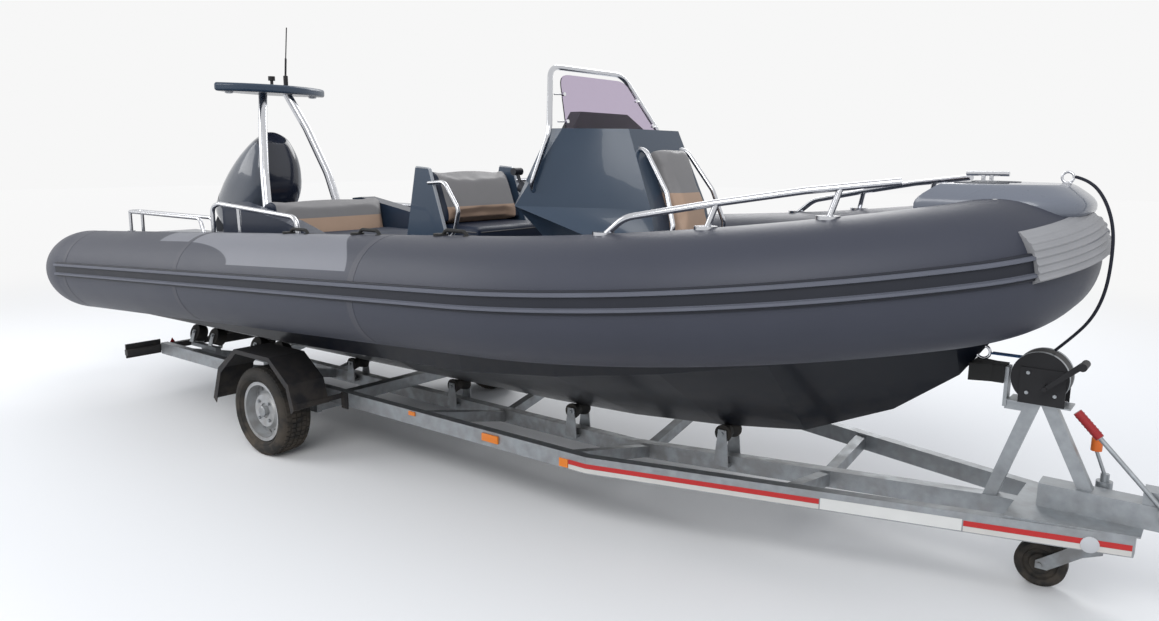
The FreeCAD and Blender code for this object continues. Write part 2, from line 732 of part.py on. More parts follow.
def helm_seat_pod():
    aft, fore = HELM_POD_X
    base = box(aft, fore, -HELM_POD_HALF, HELM_POD_HALF, SOLE_Z, HELM_POD_TOP)
    base = base.cut(box(aft + WALL, fore - WALL, -HELM_POD_HALF + WALL, HELM_POD_HALF - WALL,
                        SOLE_Z - SEAM, HELM_POD_TOP - WALL))
    outline = ((545, HELM_POD_TOP), (905, HELM_POD_TOP), (750, 1668), (640, 1675))
    side = prism_y(outline, HELM_POD_HALF - HELM_SIDE_THICK, HELM_POD_HALF)
    rear = prism_y(((545, HELM_POD_TOP), (560, HELM_POD_TOP), (655, 1640), (640, 1640)),
                   -HELM_POD_HALF, HELM_POD_HALF)
    return fuse([base, side, mirrored(side), rear])


def helm_seat_pads():
    half = HELM_POD_HALF - HELM_SIDE_THICK - SEAT_GAP
    top = HELM_POD_TOP + 130
    back = prism_y(((593, top + SEAT_GAP), (845, top + SEAT_GAP), (738, 1660), (700, 1695), (660, 1655)),
                   -half, half)
    cushion = box(592, 1110, -half, half, HELM_POD_TOP + PARKED_GAP, top)
    return group([back, cushion])


def seat_rails():
    helm = bent_bar(((740, -351, 1590), (890, -375, 1600), (1000, -375, 1450), (960, -375, 1300),
                     (850, -351, 1290)), 12, 60).cut(helm_seat_pod())
    front = bent_bar(((1985, -190, 1765), (2085, -190, 1795), (2240, -222, 1580), (2312, -254, 1378),
                      (2190, -248, 1335)), 12, 70).cut(console_body(0))
    rails = [max(r.Solids, key=lambda s: s.Volume) for r in (helm, front)]
    return both_sides(group(rails))


BENCH_X = (-1010.0, -60.0)
BENCH_HALF = 600.0
BENCH_TOP = 1120.0
BENCH_LID_X = (-560.0, -62.0)
BENCH_LID_HALF = 440.0
BENCH_CUSHION = 100.0
BENCH_SIDE_Y = 470.0


def bench_pod():
    aft, fore = BENCH_X
    pod = box(aft, fore, -BENCH_HALF, BENCH_HALF, SOLE_Z, BENCH_TOP)
    lid_aft, lid_fore = BENCH_LID_X
    seat = LID_THICK + PARKED_GAP
    pod = pod.cut(box(lid_aft - LID_GAP, fore + SEAM, -BENCH_LID_HALF - LID_GAP, BENCH_LID_HALF + LID_GAP,
                      BENCH_TOP - seat, BENCH_TOP + SEAM))
    pod = pod.cut(box(lid_aft + 30, fore - 30, -BENCH_LID_HALF + 30, BENCH_LID_HALF - 30,
                      SOLE_Z + 30, BENCH_TOP))
    arm = prism_y(((-1000, BENCH_TOP), (fore, BENCH_TOP), (30, 1165), (40, 1235), (-300, 1330),
                   (-900, 1425), (-1000, 1415)), BENCH_SIDE_Y, BENCH_HALF)
    pod = fuse([pod, arm, mirrored(arm)]).cut(TUBE_PAIR)
    return max(pod.Solids, key=lambda s: s.Volume)


def bench_lid():
    aft, fore = BENCH_LID_X
    middle = BENCH_TOP - LID_THICK / 2
    pieces = [box(aft, fore, -BENCH_LID_HALF, BENCH_LID_HALF, BENCH_TOP - LID_THICK, BENCH_TOP)]
    for y in (-2 * HINGE_Y, 2 * HINGE_Y):
        y0, y1 = y - HINGE_LONG / 2, y + HINGE_LONG / 2
        pieces.append(box(fore - 1, fore + 8, y0, y1, middle - 2, middle + 2))
        pieces.append(cyl((fore + 8, y0, middle), (fore + 8, y1, middle), HINGE_R))
    return fuse(pieces)


def bench_cushion():
    aft, fore = BENCH_LID_X
    return box(aft + 2, fore + 10, -BENCH_LID_HALF, BENCH_LID_HALF, BENCH_TOP + PARKED_GAP,
               BENCH_TOP + BENCH_CUSHION)


def bench_back():
    return prism_y(((-760, BENCH_TOP + PARKED_GAP), (-580, BENCH_TOP + PARKED_GAP), (-640, 1445), (-700, 1470),
                    (-780, 1440)), -BENCH_SIDE_Y + SEAT_GAP, BENCH_SIDE_Y - SEAT_GAP)


WELL_HALF = 430.0
STERN_DECK_TOP = 1195.0


def stern_decks():
    block = box(TRANSOM_X + TRANSOM_THICK, BENCH_X[0], WELL_HALF, TUBE_HALF_BEAM - 230, SOLE_Z, STERN_DECK_TOP).cut(mirrored(TUBE))
    return both_sides(max(block.Solids, key=lambda s: s.Volume))


# Arch over the stern
ARCH_ROUTE = ((-935, 300, BENCH_TOP + 4), (-940, 298, 1330), (-1010, 262, 1600), (-1130, 180, 1930), (-1235, 95, 2180))
WING_X = -1265.0
WING_HALF = 455.0
WING_CHORD = 340.0
WING_Z = 2165.0
WING_THICK = 58.0


def arch_legs():
    leg = bent_bar(ARCH_ROUTE, ARCH_TUBE_R, 500)
    flange = cyl((-935, 300, BENCH_TOP), (-935, 300, BENCH_TOP + 10), 58)
    leg = fuse([leg, flange]).cut(box(-1600, -900, 0, 500, WING_Z, WING_Z + 200))
    return both_sides(leg)


def arch_wing():
    tip_a, tip_b = V(WING_X, -WING_HALF, WING_Z), V(WING_X, WING_HALF, WING_Z)
    reach = V(WING_CHORD / 2, 0, 0)
    middle = V(WING_X, 0, WING_Z)
    outline = Part.Wire([Part.Arc(tip_a, middle + reach, tip_b).toShape(),
                         Part.Arc(tip_b, middle - reach, tip_a).toShape()])
    wing = Part.Face(outline).extrude(V(0, 0, WING_THICK))
    return wing.makeFillet(18, wing.Edges)


def arch_lights():
    top = WING_Z + WING_THICK
    stem = cyl((WING_X, 0, top), (WING_X, 0, top + 38), 11)
    cap = cyl((WING_X, 0, top + 38), (WING_X, 0, top + 68), 24)
    base = cyl((WING_X + 105, 45, top), (WING_X + 105, 45, top + 70), 16)
    lower = cyl((WING_X + 105, 45, top + 70), (WING_X + 118, 45, top + 190), 7)
    whip = cyl((WING_X + 118, 45, top + 190), (WING_X + 145, 45, top + 400), 4)
    return group([fuse([stem, cap]), fuse([base, lower, whip])])


# Engine, drawn upright about its tilt tube and then tipped up
def tipped(shape):
    return turned(shape, TILT_REST, (TILT_X, 0, TILT_Z), (0, 1, 0))


def at_tilt(x, y, z):
    return (TILT_X + x, y, TILT_Z + z)


BRACKET_Y = (105.0, 135.0)
SWIVEL_R = 62.0             # swivel round the steering line, clear of the leg as it turns


def engine_bracket():
    y0, y1 = BRACKET_Y
    plate = prism_y(((TILT_X + 75, 915), (TILT_X + 75, 1075), (TILT_X + 20, 1100), (TILT_X - 45, 1090),
                     (TRANSOM_X - 60, 980), (TRANSOM_X - 60, 700), (TRANSOM_X, 640), (TRANSOM_X, TRANSOM_TOP),
                     (TRANSOM_X + TRANSOM_THICK, TRANSOM_TOP), (TRANSOM_X + TRANSOM_THICK, 915)), y0, y1)
    plate = plate.cut(cyl(at_tilt(0, 0, 0), at_tilt(0, 300, 0), 20 + STUB_CLEAR))
    tie = box(TRANSOM_X - 50, TRANSOM_X, -y0, y0, 650, 690)
    return fuse([plate, mirrored(plate), tie])


def engine_swivel():
    half = BRACKET_Y[0] - 6
    heel = -STEER_OFFSET - 20
    body = prism_y(((-20, -30), (-20, 30), (-110, 36), (heel, 30), (heel, -430), (-115, -430), (-100, -120)),
                   -half, half)
    body.translate(V(TILT_X, 0, TILT_Z))
    barrel = cyl(at_tilt(-STEER_OFFSET, 0, -430), at_tilt(-STEER_OFFSET, 0, 30), SWIVEL_R)
    knuckle = cyl(at_tilt(0, -half, 0), at_tilt(0, half, 0), 36)
    shaft = cyl(at_tilt(0, -BRACKET_Y[1] - 12, 0), at_tilt(0, BRACKET_Y[1] + 12, 0), 20)
    bore = cyl(at_tilt(-STEER_OFFSET, 0, -440), at_tilt(-STEER_OFFSET, 0, 60), 26 + STUB_CLEAR)
    body = fuse([body, barrel, knuckle, shaft]).cut(bore)
    return tipped(body)


# Cowl levels over the tilt tube: height, aft end, fore end, half width
COWL_LEVELS = (
    (52.0, -385.0, -60.0, 150.0),
    (120.0, -400.0, 40.0, 200.0),
    (400.0, -410.0, 110.0, 228.0),
    (620.0, -390.0, 90.0, 222.0),
    (780.0, -360.0, -40.0, 190.0),
    (880.0, -330.0, -190.0, 105.0),
)


def engine_cowl():
    sections = []
    for z, aft, fore, half in COWL_LEVELS:
        ring = ((fore, -0.6 * half), (fore - 0.35 * half, -half), (aft + 0.55 * half, -half), (aft, -0.4 * half),
                (aft, 0.4 * half), (aft + 0.55 * half, half), (fore - 0.35 * half, half), (fore, 0.6 * half))
        sections.append([at_tilt(x, y, z) for x, y in ring])
    return tipped(loft(sections))


def engine_leg():
    steer = -STEER_OFFSET
    shaft = cyl(at_tilt(steer, 0, -470), at_tilt(steer, 0, 51), 26)
    top_yoke = prism_z([(TILT_X + x, y) for x, y in ((-140, -60), (-330, -90), (-330, 90), (-140, 60))],
                       TILT_Z + 42, TILT_Z + 51)
    low_yoke = prism_z([(TILT_X + x, y) for x, y in ((-145, -30), (-300, -75), (-300, 75), (-145, 30))],
                       TILT_Z - 490, TILT_Z - 440)
    mid_levels = ((51.0, -385.0, -250.0, 105.0), (-250.0, -395.0, -262.0, 80.0), (-600.0, -410.0, -255.0, 55.0),
                  (-640.0, -450.0, -240.0, 48.0), (-780.0, -470.0, -280.0, 24.0))
    sections = []
    for z, aft, fore, half in mid_levels:
        nose = 0.6 * half
        ring = ((fore, -0.3 * half), (fore - nose, -half), (aft + nose, -0.8 * half), (aft, 0),
                (aft + nose, 0.8 * half), (fore - nose, half), (fore, 0.3 * half))
        sections.append([at_tilt(x, y, z) for x, y in ring])
    column = loft(sections)
    plate = prism_z([(TILT_X + x, y) for x, y in ((-240, -40), (-330, -110), (-660, -125), (-660, 125),
                                                  (-330, 110), (-240, 40))], TILT_Z - 628, TILT_Z - 616)
    case_start, case_end = at_tilt(-300, 0, -PROP_DOWN), at_tilt(-PROP_AFT + 62, 0, -PROP_DOWN)
    case = cyl(case_start, case_end, 58)
    nose = cone(case_start, at_tilt(-210, 0, -PROP_DOWN), 58, 16)
    skeg = prism_y([(TILT_X + x, TILT_Z + z) for x, z in ((-290, -870), (-460, -870), (-520, -1030),
                                                          (-465, -1055), (-390, -1020))], -6, 6)
    shaft_out = cyl(at_tilt(-PROP_AFT + 63, 0, -PROP_DOWN), at_tilt(-PROP_AFT - 40, 0, -PROP_DOWN), 12)
    leg = fuse([shaft, top_yoke, low_yoke, column, plate, case, nose, skeg, shaft_out])
    return tipped(leg)


def propeller():
    x0 = TILT_X - PROP_AFT
    z0 = TILT_Z - PROP_DOWN
    hub = cone((x0 + 60, 0, z0), (x0 - 60, 0, z0), 56, PROP_HUB_R)
    blades = []
    for k in range(3):
        low = [(x0 + 46, -34, z0 + 40), (x0 + 50, -28, z0 + 40), (x0 - 44, 34, z0 + 40), (x0 - 50, 28, z0 + 40)]
        mid = [(x0 + 46, -62, z0 + 118), (x0 + 50, -58, z0 + 118), (x0 - 36, 64, z0 + 118), (x0 - 40, 60, z0 + 118)]
        tip = [(x0 + 16, -30, z0 + PROP_R), (x0 + 19, -27, z0 + PROP_R), (x0 - 16, 30, z0 + PROP_R),
               (x0 - 19, 27, z0 + PROP_R)]
        blades.append(turned(loft((low, mid, tip)), 120 * k, (x0, 0, z0), (1, 0, 0)))
    wheel = fuse([hub] + blades)
    bore = cyl((x0 + 80, 0, z0), (x0 - 41, 0, z0), 12 + STUB_CLEAR)
    return tipped(wheel.cut(bore))


# Trailer
def rail_outline():
    """Plan of the port rail, mitred where it turns in to the drawbar."""
    run_in = (RAIL_FRONT_Y - RAIL_Y) / (RAIL_FRONT_X - RAIL_BEND_X)
    turn = math.atan(run_in)
    half = RAIL_WIDE / 2
    shift = half * math.tan(turn / 2)
    across = half / math.cos(turn)
    return ((RAIL_AFT, RAIL_Y - half), (RAIL_BEND_X + shift, RAIL_Y - half),
            (RAIL_FRONT_X, RAIL_FRONT_Y - across), (RAIL_FRONT_X, RAIL_FRONT_Y + across),
            (RAIL_BEND_X - shift, RAIL_Y + half), (RAIL_AFT, RAIL_Y + half))


def side_rails():
    rail = prism_z(rail_outline(), RAIL_TOP - RAIL_TALL, RAIL_TOP)
    return both_sides(rail)


def rail_inner_y(x):
    if x <= RAIL_BEND_X:
        return RAIL_Y - RAIL_WIDE / 2
    share = (x - RAIL_BEND_X) / (RAIL_FRONT_X - RAIL_BEND_X)
    return RAIL_Y + share * (RAIL_FRONT_Y - RAIL_Y) - RAIL_WIDE / 2


def spine_top(x):
    if x <= SPINE_BEND_X:
        return SPINE_LOW_TOP
    share = min(1.0, (x - SPINE_BEND_X) / (SPINE_RISE_X - SPINE_BEND_X))
    return SPINE_LOW_TOP + share * (RAIL_TOP - SPINE_LOW_TOP)


def centre_spine():
    top = [(RAIL_AFT, SPINE_LOW_TOP), (SPINE_BEND_X, SPINE_LOW_TOP), (SPINE_RISE_X, RAIL_TOP), (SPINE_FRONT_X, RAIL_TOP)]
    low = [(x, z - SPINE_TALL) for x, z in reversed(top)]
    return prism_y(top + low, -SPINE_WIDE / 2, SPINE_WIDE / 2)


def cross_members():
    braces = []
    for x in BRACE_X:
        outer = rail_inner_y(x - BRACE_WIDE / 2)
        inner = SPINE_WIDE / 2
        high = RAIL_TOP - 10
        low = spine_top(x) - 10
        leg = prism_x(((inner, low - 60), (inner, low), (outer, high), (outer, high - 60)),
                      x - BRACE_WIDE / 2, x + BRACE_WIDE / 2)
        leg = leg.cut(prism_z(rail_outline(), 0, 1000))
        leg = max(leg.Solids, key=lambda s: s.Volume)
        braces += [leg, mirrored(leg)]
    return group(braces)


def drawbar():
    bottom = RAIL_TOP + GUSSET_THICK
    beam = box(DRAWBAR_AFT, DRAWBAR_FRONT, -DRAWBAR_WIDE / 2, DRAWBAR_WIDE / 2, bottom, bottom + DRAWBAR_TALL)
    gusset = prism_z(((3820, -240), (RAIL_FRONT_X + 15, -142), (RAIL_FRONT_X + 15, 142), (3820, 240)),
                     RAIL_TOP, bottom)
    hole = cyl((JOCKEY_X, JOCKEY_Y, 300), (JOCKEY_X, JOCKEY_Y, 500), JOCKEY_TUBE_R + PARKED_GAP)
    return fuse([beam, gusset.cut(hole)])


def coupling_head():
    top = RAIL_TOP + GUSSET_THICK + DRAWBAR_TALL
    housing = box(4250, 4600, -45, 45, top, top + 52)
    tube = cyl((4560, 0, TOW_BALL_Z + 22), (4860, 0, TOW_BALL_Z + 22), 29)
    front = box(DRAWBAR_FRONT, DRAWBAR_FRONT + 60, -50, 50, RAIL_TOP + GUSSET_THICK, top + 52)
    head = prism_y(((4800, TOW_BALL_Z - 8), (4860, TOW_BALL_Z - 22), (5020, TOW_BALL_Z - 22),
                    (COUPLING_NOSE, TOW_BALL_Z + 4), (5040, TOW_BALL_Z + 42), (4960, TOW_BALL_Z + 62),
                    (4800, TOW_BALL_Z + 56)), -42, 42)
    handle = prism_y(((4900, TOW_BALL_Z + 50), (4960, TOW_BALL_Z + 50), (4860, TOW_BALL_Z + 112),
                      (4760, TOW_BALL_Z + 118), (4760, TOW_BALL_Z + 104), (4850, TOW_BALL_Z + 98)), -16, 16)
    tube = tube.cut(box(4550, DRAWBAR_FRONT, -60, 60, 300, 700))
    socket = cyl((TOW_BALL_X, 0, TOW_BALL_Z - 60), (TOW_BALL_X, 0, TOW_BALL_Z), TOW_BALL_R + 0.4)
    dome = Part.makeSphere(TOW_BALL_R + 0.4, V(TOW_BALL_X, 0, TOW_BALL_Z))
    return fuse([housing, front, tube, head, handle]).cut(socket.fuse(dome))


BRAKE_PIVOT = (4330.0, -62.0, 470.0)
BRAKE_TIP = (4010.0, -62.0, 800.0)


def handbrake_lever():
    pivot, tip = V(*BRAKE_PIVOT), V(*BRAKE_TIP)
    along = (tip - pivot).normalize()
    bar = cyl(tuple(pivot), tuple(tip - along * 100), 9)
    grip = cyl(tuple(tip - along * 120), tuple(tip), 16)
    boss = cyl((pivot.x, -DRAWBAR_WIDE / 2, pivot.z), (pivot.x, -76, pivot.z), 28)
    return fuse([bar, grip, boss])


def axle():
    half = RAIL_Y + RAIL_WIDE / 2
    z0 = SPINE_LOW_TOP
    beam = box(AXLE_X - AXLE_SIDE / 2, AXLE_X + AXLE_SIDE / 2, -half - 5, half + 5, z0, z0 + AXLE_SIDE)
    hub_z = TYRE_DIA / 2
    inner = half + 5
    arm_in, arm_out = inner, inner + ARM_THICK
    arm = prism_y(((AXLE_X + 40, z0 - 5), (AXLE_X + 40, z0 + AXLE_SIDE + 5), (AXLE_X - 40, z0 + AXLE_SIDE + 5),
                   (-30, hub_z + 32), (-36, hub_z), (-30, hub_z - 32), (AXLE_X - 40, z0 - 5)), arm_in, arm_out)
    stub = cyl((0, arm_out, hub_z), (0, WHEEL_Y + 10, hub_z), STUB_R)
    side = fuse([arm, stub])
    return fuse([beam, side, mirrored(side)])


def mudguards():
    """Faceted guard over each wheel, on two flat stays from the rail."""
    outer = [(-432, 280), (-360, 478), (-175, 618), (175, 618), (350, 490), (392, 352)]
    thick = 5.0
    inner = [(x * 0.985, z - thick) for x, z in reversed(outer)]
    y0, y1 = 832.0, 1066.0
    sheet = prism_y(outer + inner, y0, y1)
    lip_inner = [(x * 0.93, z - 26) for x, z in reversed(outer)]
    lip = prism_y(outer + lip_inner, y1 - 4, y1)
    rail_face = RAIL_Y + RAIL_WIDE / 2
    front = box(378, 388, rail_face, y1 - 20, 352, 380)
    plate = box(372, 428, rail_face, rail_face + 8, 290, RAIL_TOP)
    rear = box(-424, -414, rail_face, y1 - 20, 300, 330)
    rear_plate = box(-440, -384, rail_face, rail_face + 8, 290, RAIL_TOP)
    return both_sides(fuse([sheet, lip, front, plate, rear, rear_plate]))


def roller_outline(half, middle_r, end_r):
    """Half of a waisted roller's section about its own axis, as (along, out) points."""
    return ((-half, 0), (-half, end_r), (-half * 0.8, end_r), (0, middle_r), (half * 0.8, end_r), (half, end_r), (half, 0))


def keel_rollers():
    rollers = []
    for x in KEEL_ROLLER_X:
        z = keel_z(x) - KEEL_ROLLER_R - PARKED_GAP
        ring = [(x, a, z + b) for a, b in roller_outline(KEEL_ROLLER_LONG / 2, KEEL_ROLLER_R, KEEL_ROLLER_END_R)]
        roller = revolve(ring, (x, 0, z), (0, 1, 0))
        rollers.append(roller.cut(cyl((x, -100, z), (x, 100, z), PIN_R + STUB_CLEAR)))
    return group(rollers)


def roller_brackets():
    pieces = []
    for x in KEEL_ROLLER_X:
        z = keel_z(x) - KEEL_ROLLER_R - PARKED_GAP
        base = spine_top(x)
        cheek_y = KEEL_ROLLER_LONG / 2 + 2
        cheeks = []
        for side in (-1, 1):
            y = sorted((side * cheek_y, side * (cheek_y + 6)))
            cheeks.append(prism_y(((x - 40, base - 30), (x + 40, base - 30), (x + 22, z + 20), (x - 22, z + 20)), *y))
            foot = sorted((side * SPINE_WIDE / 2, side * (cheek_y + 6)))
            cheeks.append(box(x - 40, x + 40, foot[0], foot[1], base - 46, base - 30))
        pin = cyl((x, -cheek_y - 14, z), (x, cheek_y + 14, z), PIN_R)
        pieces.append(fuse(cheeks + [pin]).cut(centre_spine()))
    return group(pieces)


def side_roller_place(x):
    """Middle of a side roller under the hull's bottom, on the port side, and the bottom's slope."""
    z = hull_bottom_z(x, SIDE_ROLLER_Y)
    slope = math.atan2(hull_bottom_z(x, SIDE_ROLLER_Y + 1) - z, 1.0)
    reach = SIDE_ROLLER_R + PARKED_GAP
    return V(x, SIDE_ROLLER_Y + reach * math.sin(slope), z - reach * math.cos(slope)), slope


def side_rollers():
    rollers = []
    for middle in BRACE_X[:2]:
        for x in (middle - SIDE_ROLLER_REACH, middle + SIDE_ROLLER_REACH):
            centre, slope = side_roller_place(x)
            along = V(0, math.cos(slope), math.sin(slope))
            start = centre - along * (SIDE_ROLLER_LONG / 2)
            roller = Part.makeCylinder(SIDE_ROLLER_R, SIDE_ROLLER_LONG, start, along)
            hole = Part.makeCylinder(PIN_R + STUB_CLEAR, SIDE_ROLLER_LONG * 2, centre - along * SIDE_ROLLER_LONG, along)
            rollers.append(roller.cut(hole))
    return both_sides(group(rollers))


def side_cradles():
    """Beam on each pair of V legs, with a fork for each roller square to the hull's bottom."""
    cradles = []
    for middle in BRACE_X[:2]:
        pieces = []
        drop = SIDE_ROLLER_R + 8
        for x in (middle - SIDE_ROLLER_REACH, middle + SIDE_ROLLER_REACH):
            centre, slope = side_roller_place(x)
            half = SIDE_ROLLER_LONG / 2 + 2
            fork = [cyl((x, -half - 14, 0), (x, half + 14, 0), PIN_R), box(x - 18, x + 18, -half, half, -drop - 8, -drop)]
            for y in (-half - 6, half):
                fork.append(prism_y(((x - 24, -drop - 8), (x + 24, -drop - 8), (x + 16, 16), (x - 16, 16)), y, y + 6))
            fork = turned(fuse(fork), math.degrees(slope), (x, 0, 0), (1, 0, 0))
            fork.translate(V(0, centre.y, centre.z))
            pieces.append(fork)
        y = centre.y + (drop + 4) * math.sin(slope)
        beam_top = centre.z - (drop + 6) * math.cos(slope)
        share = (y - SPINE_WIDE / 2) / (RAIL_Y - RAIL_WIDE / 2 - SPINE_WIDE / 2)
        leg_top = SPINE_LOW_TOP - 10 + share * (RAIL_TOP - SPINE_LOW_TOP)
        pieces.append(box(middle - 165, middle + 165, y - 20, y + 20, beam_top - 26, beam_top))
        pieces.append(box(middle - 25, middle + 25, y - 20, y + 20, min(leg_top - 12, beam_top - 30), beam_top - 20))
        cradle = fuse(pieces).cut(cross_members())
        cradles.append(max(cradle.Solids, key=lambda s: s.Volume))
    return both_sides(group(cradles))


WINCH_CENTRE = (3868.0, 0.0, 908.0)
WINCH_R = 104.0
SNUBBER_Z = 900.0
STRAP_Z = 972.0


def winch_post():
    base = RAIL_TOP + GUSSET_THICK
    top = WINCH_CENTRE[2] - WINCH_R - 6
    fore_foot = RAIL_TOP + GUSSET_THICK + DRAWBAR_TALL
    fore = prism_y(((4030, fore_foot), (4085, fore_foot), (3930, top), (3875, top)), -22, 22)
    rear = prism_y(((3690, RAIL_TOP - 20), (3745, RAIL_TOP - 8), (3875, top), (3820, top)), -22, 22)
    foot = box(3680, 3800, -22, 22, RAIL_TOP - 60, RAIL_TOP)
    shelf = box(3760, 3985, -55, 55, top, top + 6)
    arm = prism_y(((3745, top - 40), (3830, top - 40), (3830, top), (3745, top)), -22, 22)
    post = fuse([fore, rear, shelf, arm]).cut(centre_spine()).cut(drawbar())
    return max(post.Solids, key=lambda s: s.Volume)


def bow_snubber():
    """Rubber block that the stem rests against, on an upright from the winch shelf."""
    top = WINCH_CENTRE[2] - WINCH_R - 6
    upright = box(3738, 3752, -30, 30, top - 30, SNUBBER_Z + 30)
    pad = prism_z(((3610, -75), (3690, -45), (3738, -45), (3738, 45), (3690, 45), (3610, 75)),
                  SNUBBER_Z - 35, SNUBBER_Z + 35)
    pad = pad.cut(hull())
    pad = max(pad.Solids, key=lambda s: s.Volume)
    return pad, upright


def winch():
    x, y, z = WINCH_CENTRE
    cover = cyl((x, -58, z), (x, 58, z), WINCH_R)
    cover = cover.cut(box(x - 200, x - 60, -32, 32, z + 20, z + 80))
    cheek = box(x - 70, x + 95, -64, -58, z - WINCH_R, z + 40)
    cheek_port = box(x - 70, x + 95, 58, 64, z - WINCH_R, z + 40)
    shaft = cyl((x + 30, -64, z - 25), (x + 30, -130, z - 25), 9)
    arm = prism_y(((x + 18, z - 25), (x + 42, z - 25), (x + 170, z + 90), (x + 150, z + 105)), -126, -118)
    knob = cyl((x + 160, -126, z + 97), (x + 160, -210, z + 97), 15)
    return fuse([cover, cheek, cheek_port, shaft, arm, knob])


def jockey_tube():
    top = 500.0
    outer = cyl((JOCKEY_X, JOCKEY_Y, 300), (JOCKEY_X, JOCKEY_Y, top), JOCKEY_TUBE_R)
    bracket = box(JOCKEY_X - 30, JOCKEY_X + 30, DRAWBAR_WIDE / 2, JOCKEY_Y, 410, 460)
    neck = cyl((JOCKEY_X, JOCKEY_Y, top), (JOCKEY_X, JOCKEY_Y, top + 30), 16)
    crank = cyl((JOCKEY_X, JOCKEY_Y, top + 20), (JOCKEY_X - 40, JOCKEY_Y, top + 120), 7)
    knob = cyl((JOCKEY_X - 40, JOCKEY_Y, top + 118), (JOCKEY_X - 40, JOCKEY_Y, top + 168), 20)
    inner = cyl((JOCKEY_X, JOCKEY_Y, 245), (JOCKEY_X, JOCKEY_Y, 300), JOCKEY_STEM_R)
    tube = fuse([outer, bracket, neck, crank, knob, inner])
    socket = cyl((JOCKEY_X, JOCKEY_Y, 244), (JOCKEY_X, JOCKEY_Y, 290), 10 + STUB_CLEAR)
    return tube.cut(socket)


def jockey_fork():
    y = JOCKEY_Y
    hub_x = JOCKEY_X - JOCKEY_TRAIL
    half = JOCKEY_WHEEL_WIDE / 2 + 4
    crown = cyl((JOCKEY_X, y, 205), (JOCKEY_X, y, 245 - PARKED_GAP), JOCKEY_STEM_R + 4)
    peg = cyl((JOCKEY_X, y, 240), (JOCKEY_X, y, 288), 10)
    plates = []
    for side in (-1, 1):
        y0, y1 = sorted((y + side * half, y + side * (half + 6)))
        plates.append(prism_y(((JOCKEY_X + 28, 205), (JOCKEY_X + 28, 240), (JOCKEY_X - 60, 225), (hub_x - 16, 116),
                               (hub_x - 16, 84), (hub_x + 30, 84), (JOCKEY_X - 40, 175)), y0, y1))
    bridge = box(JOCKEY_X - 28, JOCKEY_X + 28, y - half, y + half, 205, 240)
    pin = cyl((hub_x, y - half - 12, JOCKEY_WHEEL_R), (hub_x, y + half + 12, JOCKEY_WHEEL_R), 10)
    return fuse([crown, peg, bridge, pin] + plates)


def jockey_wheel():
    hub_x = JOCKEY_X - JOCKEY_TRAIL
    half = JOCKEY_WHEEL_WIDE / 2
    r = JOCKEY_WHEEL_R
    ring = [(hub_x, JOCKEY_Y + a, r + b) for a, b in ((-half, 10 + STUB_CLEAR), (-half, 40), (-half + 10, 46),
            (-half + 10, 62), (-half, 68), (-half, r - 14), (-half + 10, r), (half - 10, r), (half, r - 14),
            (half, 68), (half - 10, 62), (half - 10, 46), (half, 40), (half, 10 + STUB_CLEAR))]
    return revolve(ring, (hub_x, JOCKEY_Y, r), (0, 1, 0))


BOARD_GAP = 14.0            # board's beam behind the rails' ends, clear of the transom


def light_board():
    x = RAIL_AFT - BOARD_GAP
    parts = [box(x - 40, x, -960, 960, 325, 365), box(x - 46, x - 40, -260, 260, 290, 400)]
    for side in (-1, 1):
        y0, y1 = sorted((side * 700, side * 950))
        parts.append(box(x - 52, x - 40, y0, y1, 300, 400))
        y0, y1 = sorted((side * (RAIL_Y - 20), side * (RAIL_Y + 20)))
        parts.append(box(x, RAIL_AFT, y0, y1, 325, 365))
    return fuse(parts)


# Wheels
def tyre(side):
    y = side * WHEEL_Y
    r = TYRE_DIA / 2
    wide = TYRE_WIDE / 2
    tread = TREAD_WIDE / 2
    bead = RIM_WIDE / 2 - RIM_THICK
    pts = [(-bead, BEAD_R + PARKED_GAP), (-bead, FLANGE_R + 4), (-wide, 212), (-wide + 4, 238), (-tread, r - 3),
           (-tread + 18, r), (tread - 18, r), (tread, r - 3), (wide - 4, 238), (wide, 212), (bead, FLANGE_R + 4),
           (bead, BEAD_R + PARKED_GAP)]
    ring = [(0, y + a, r + b) for a, b in pts]
    return revolve(ring, (0, y, r), (0, 1, 0))


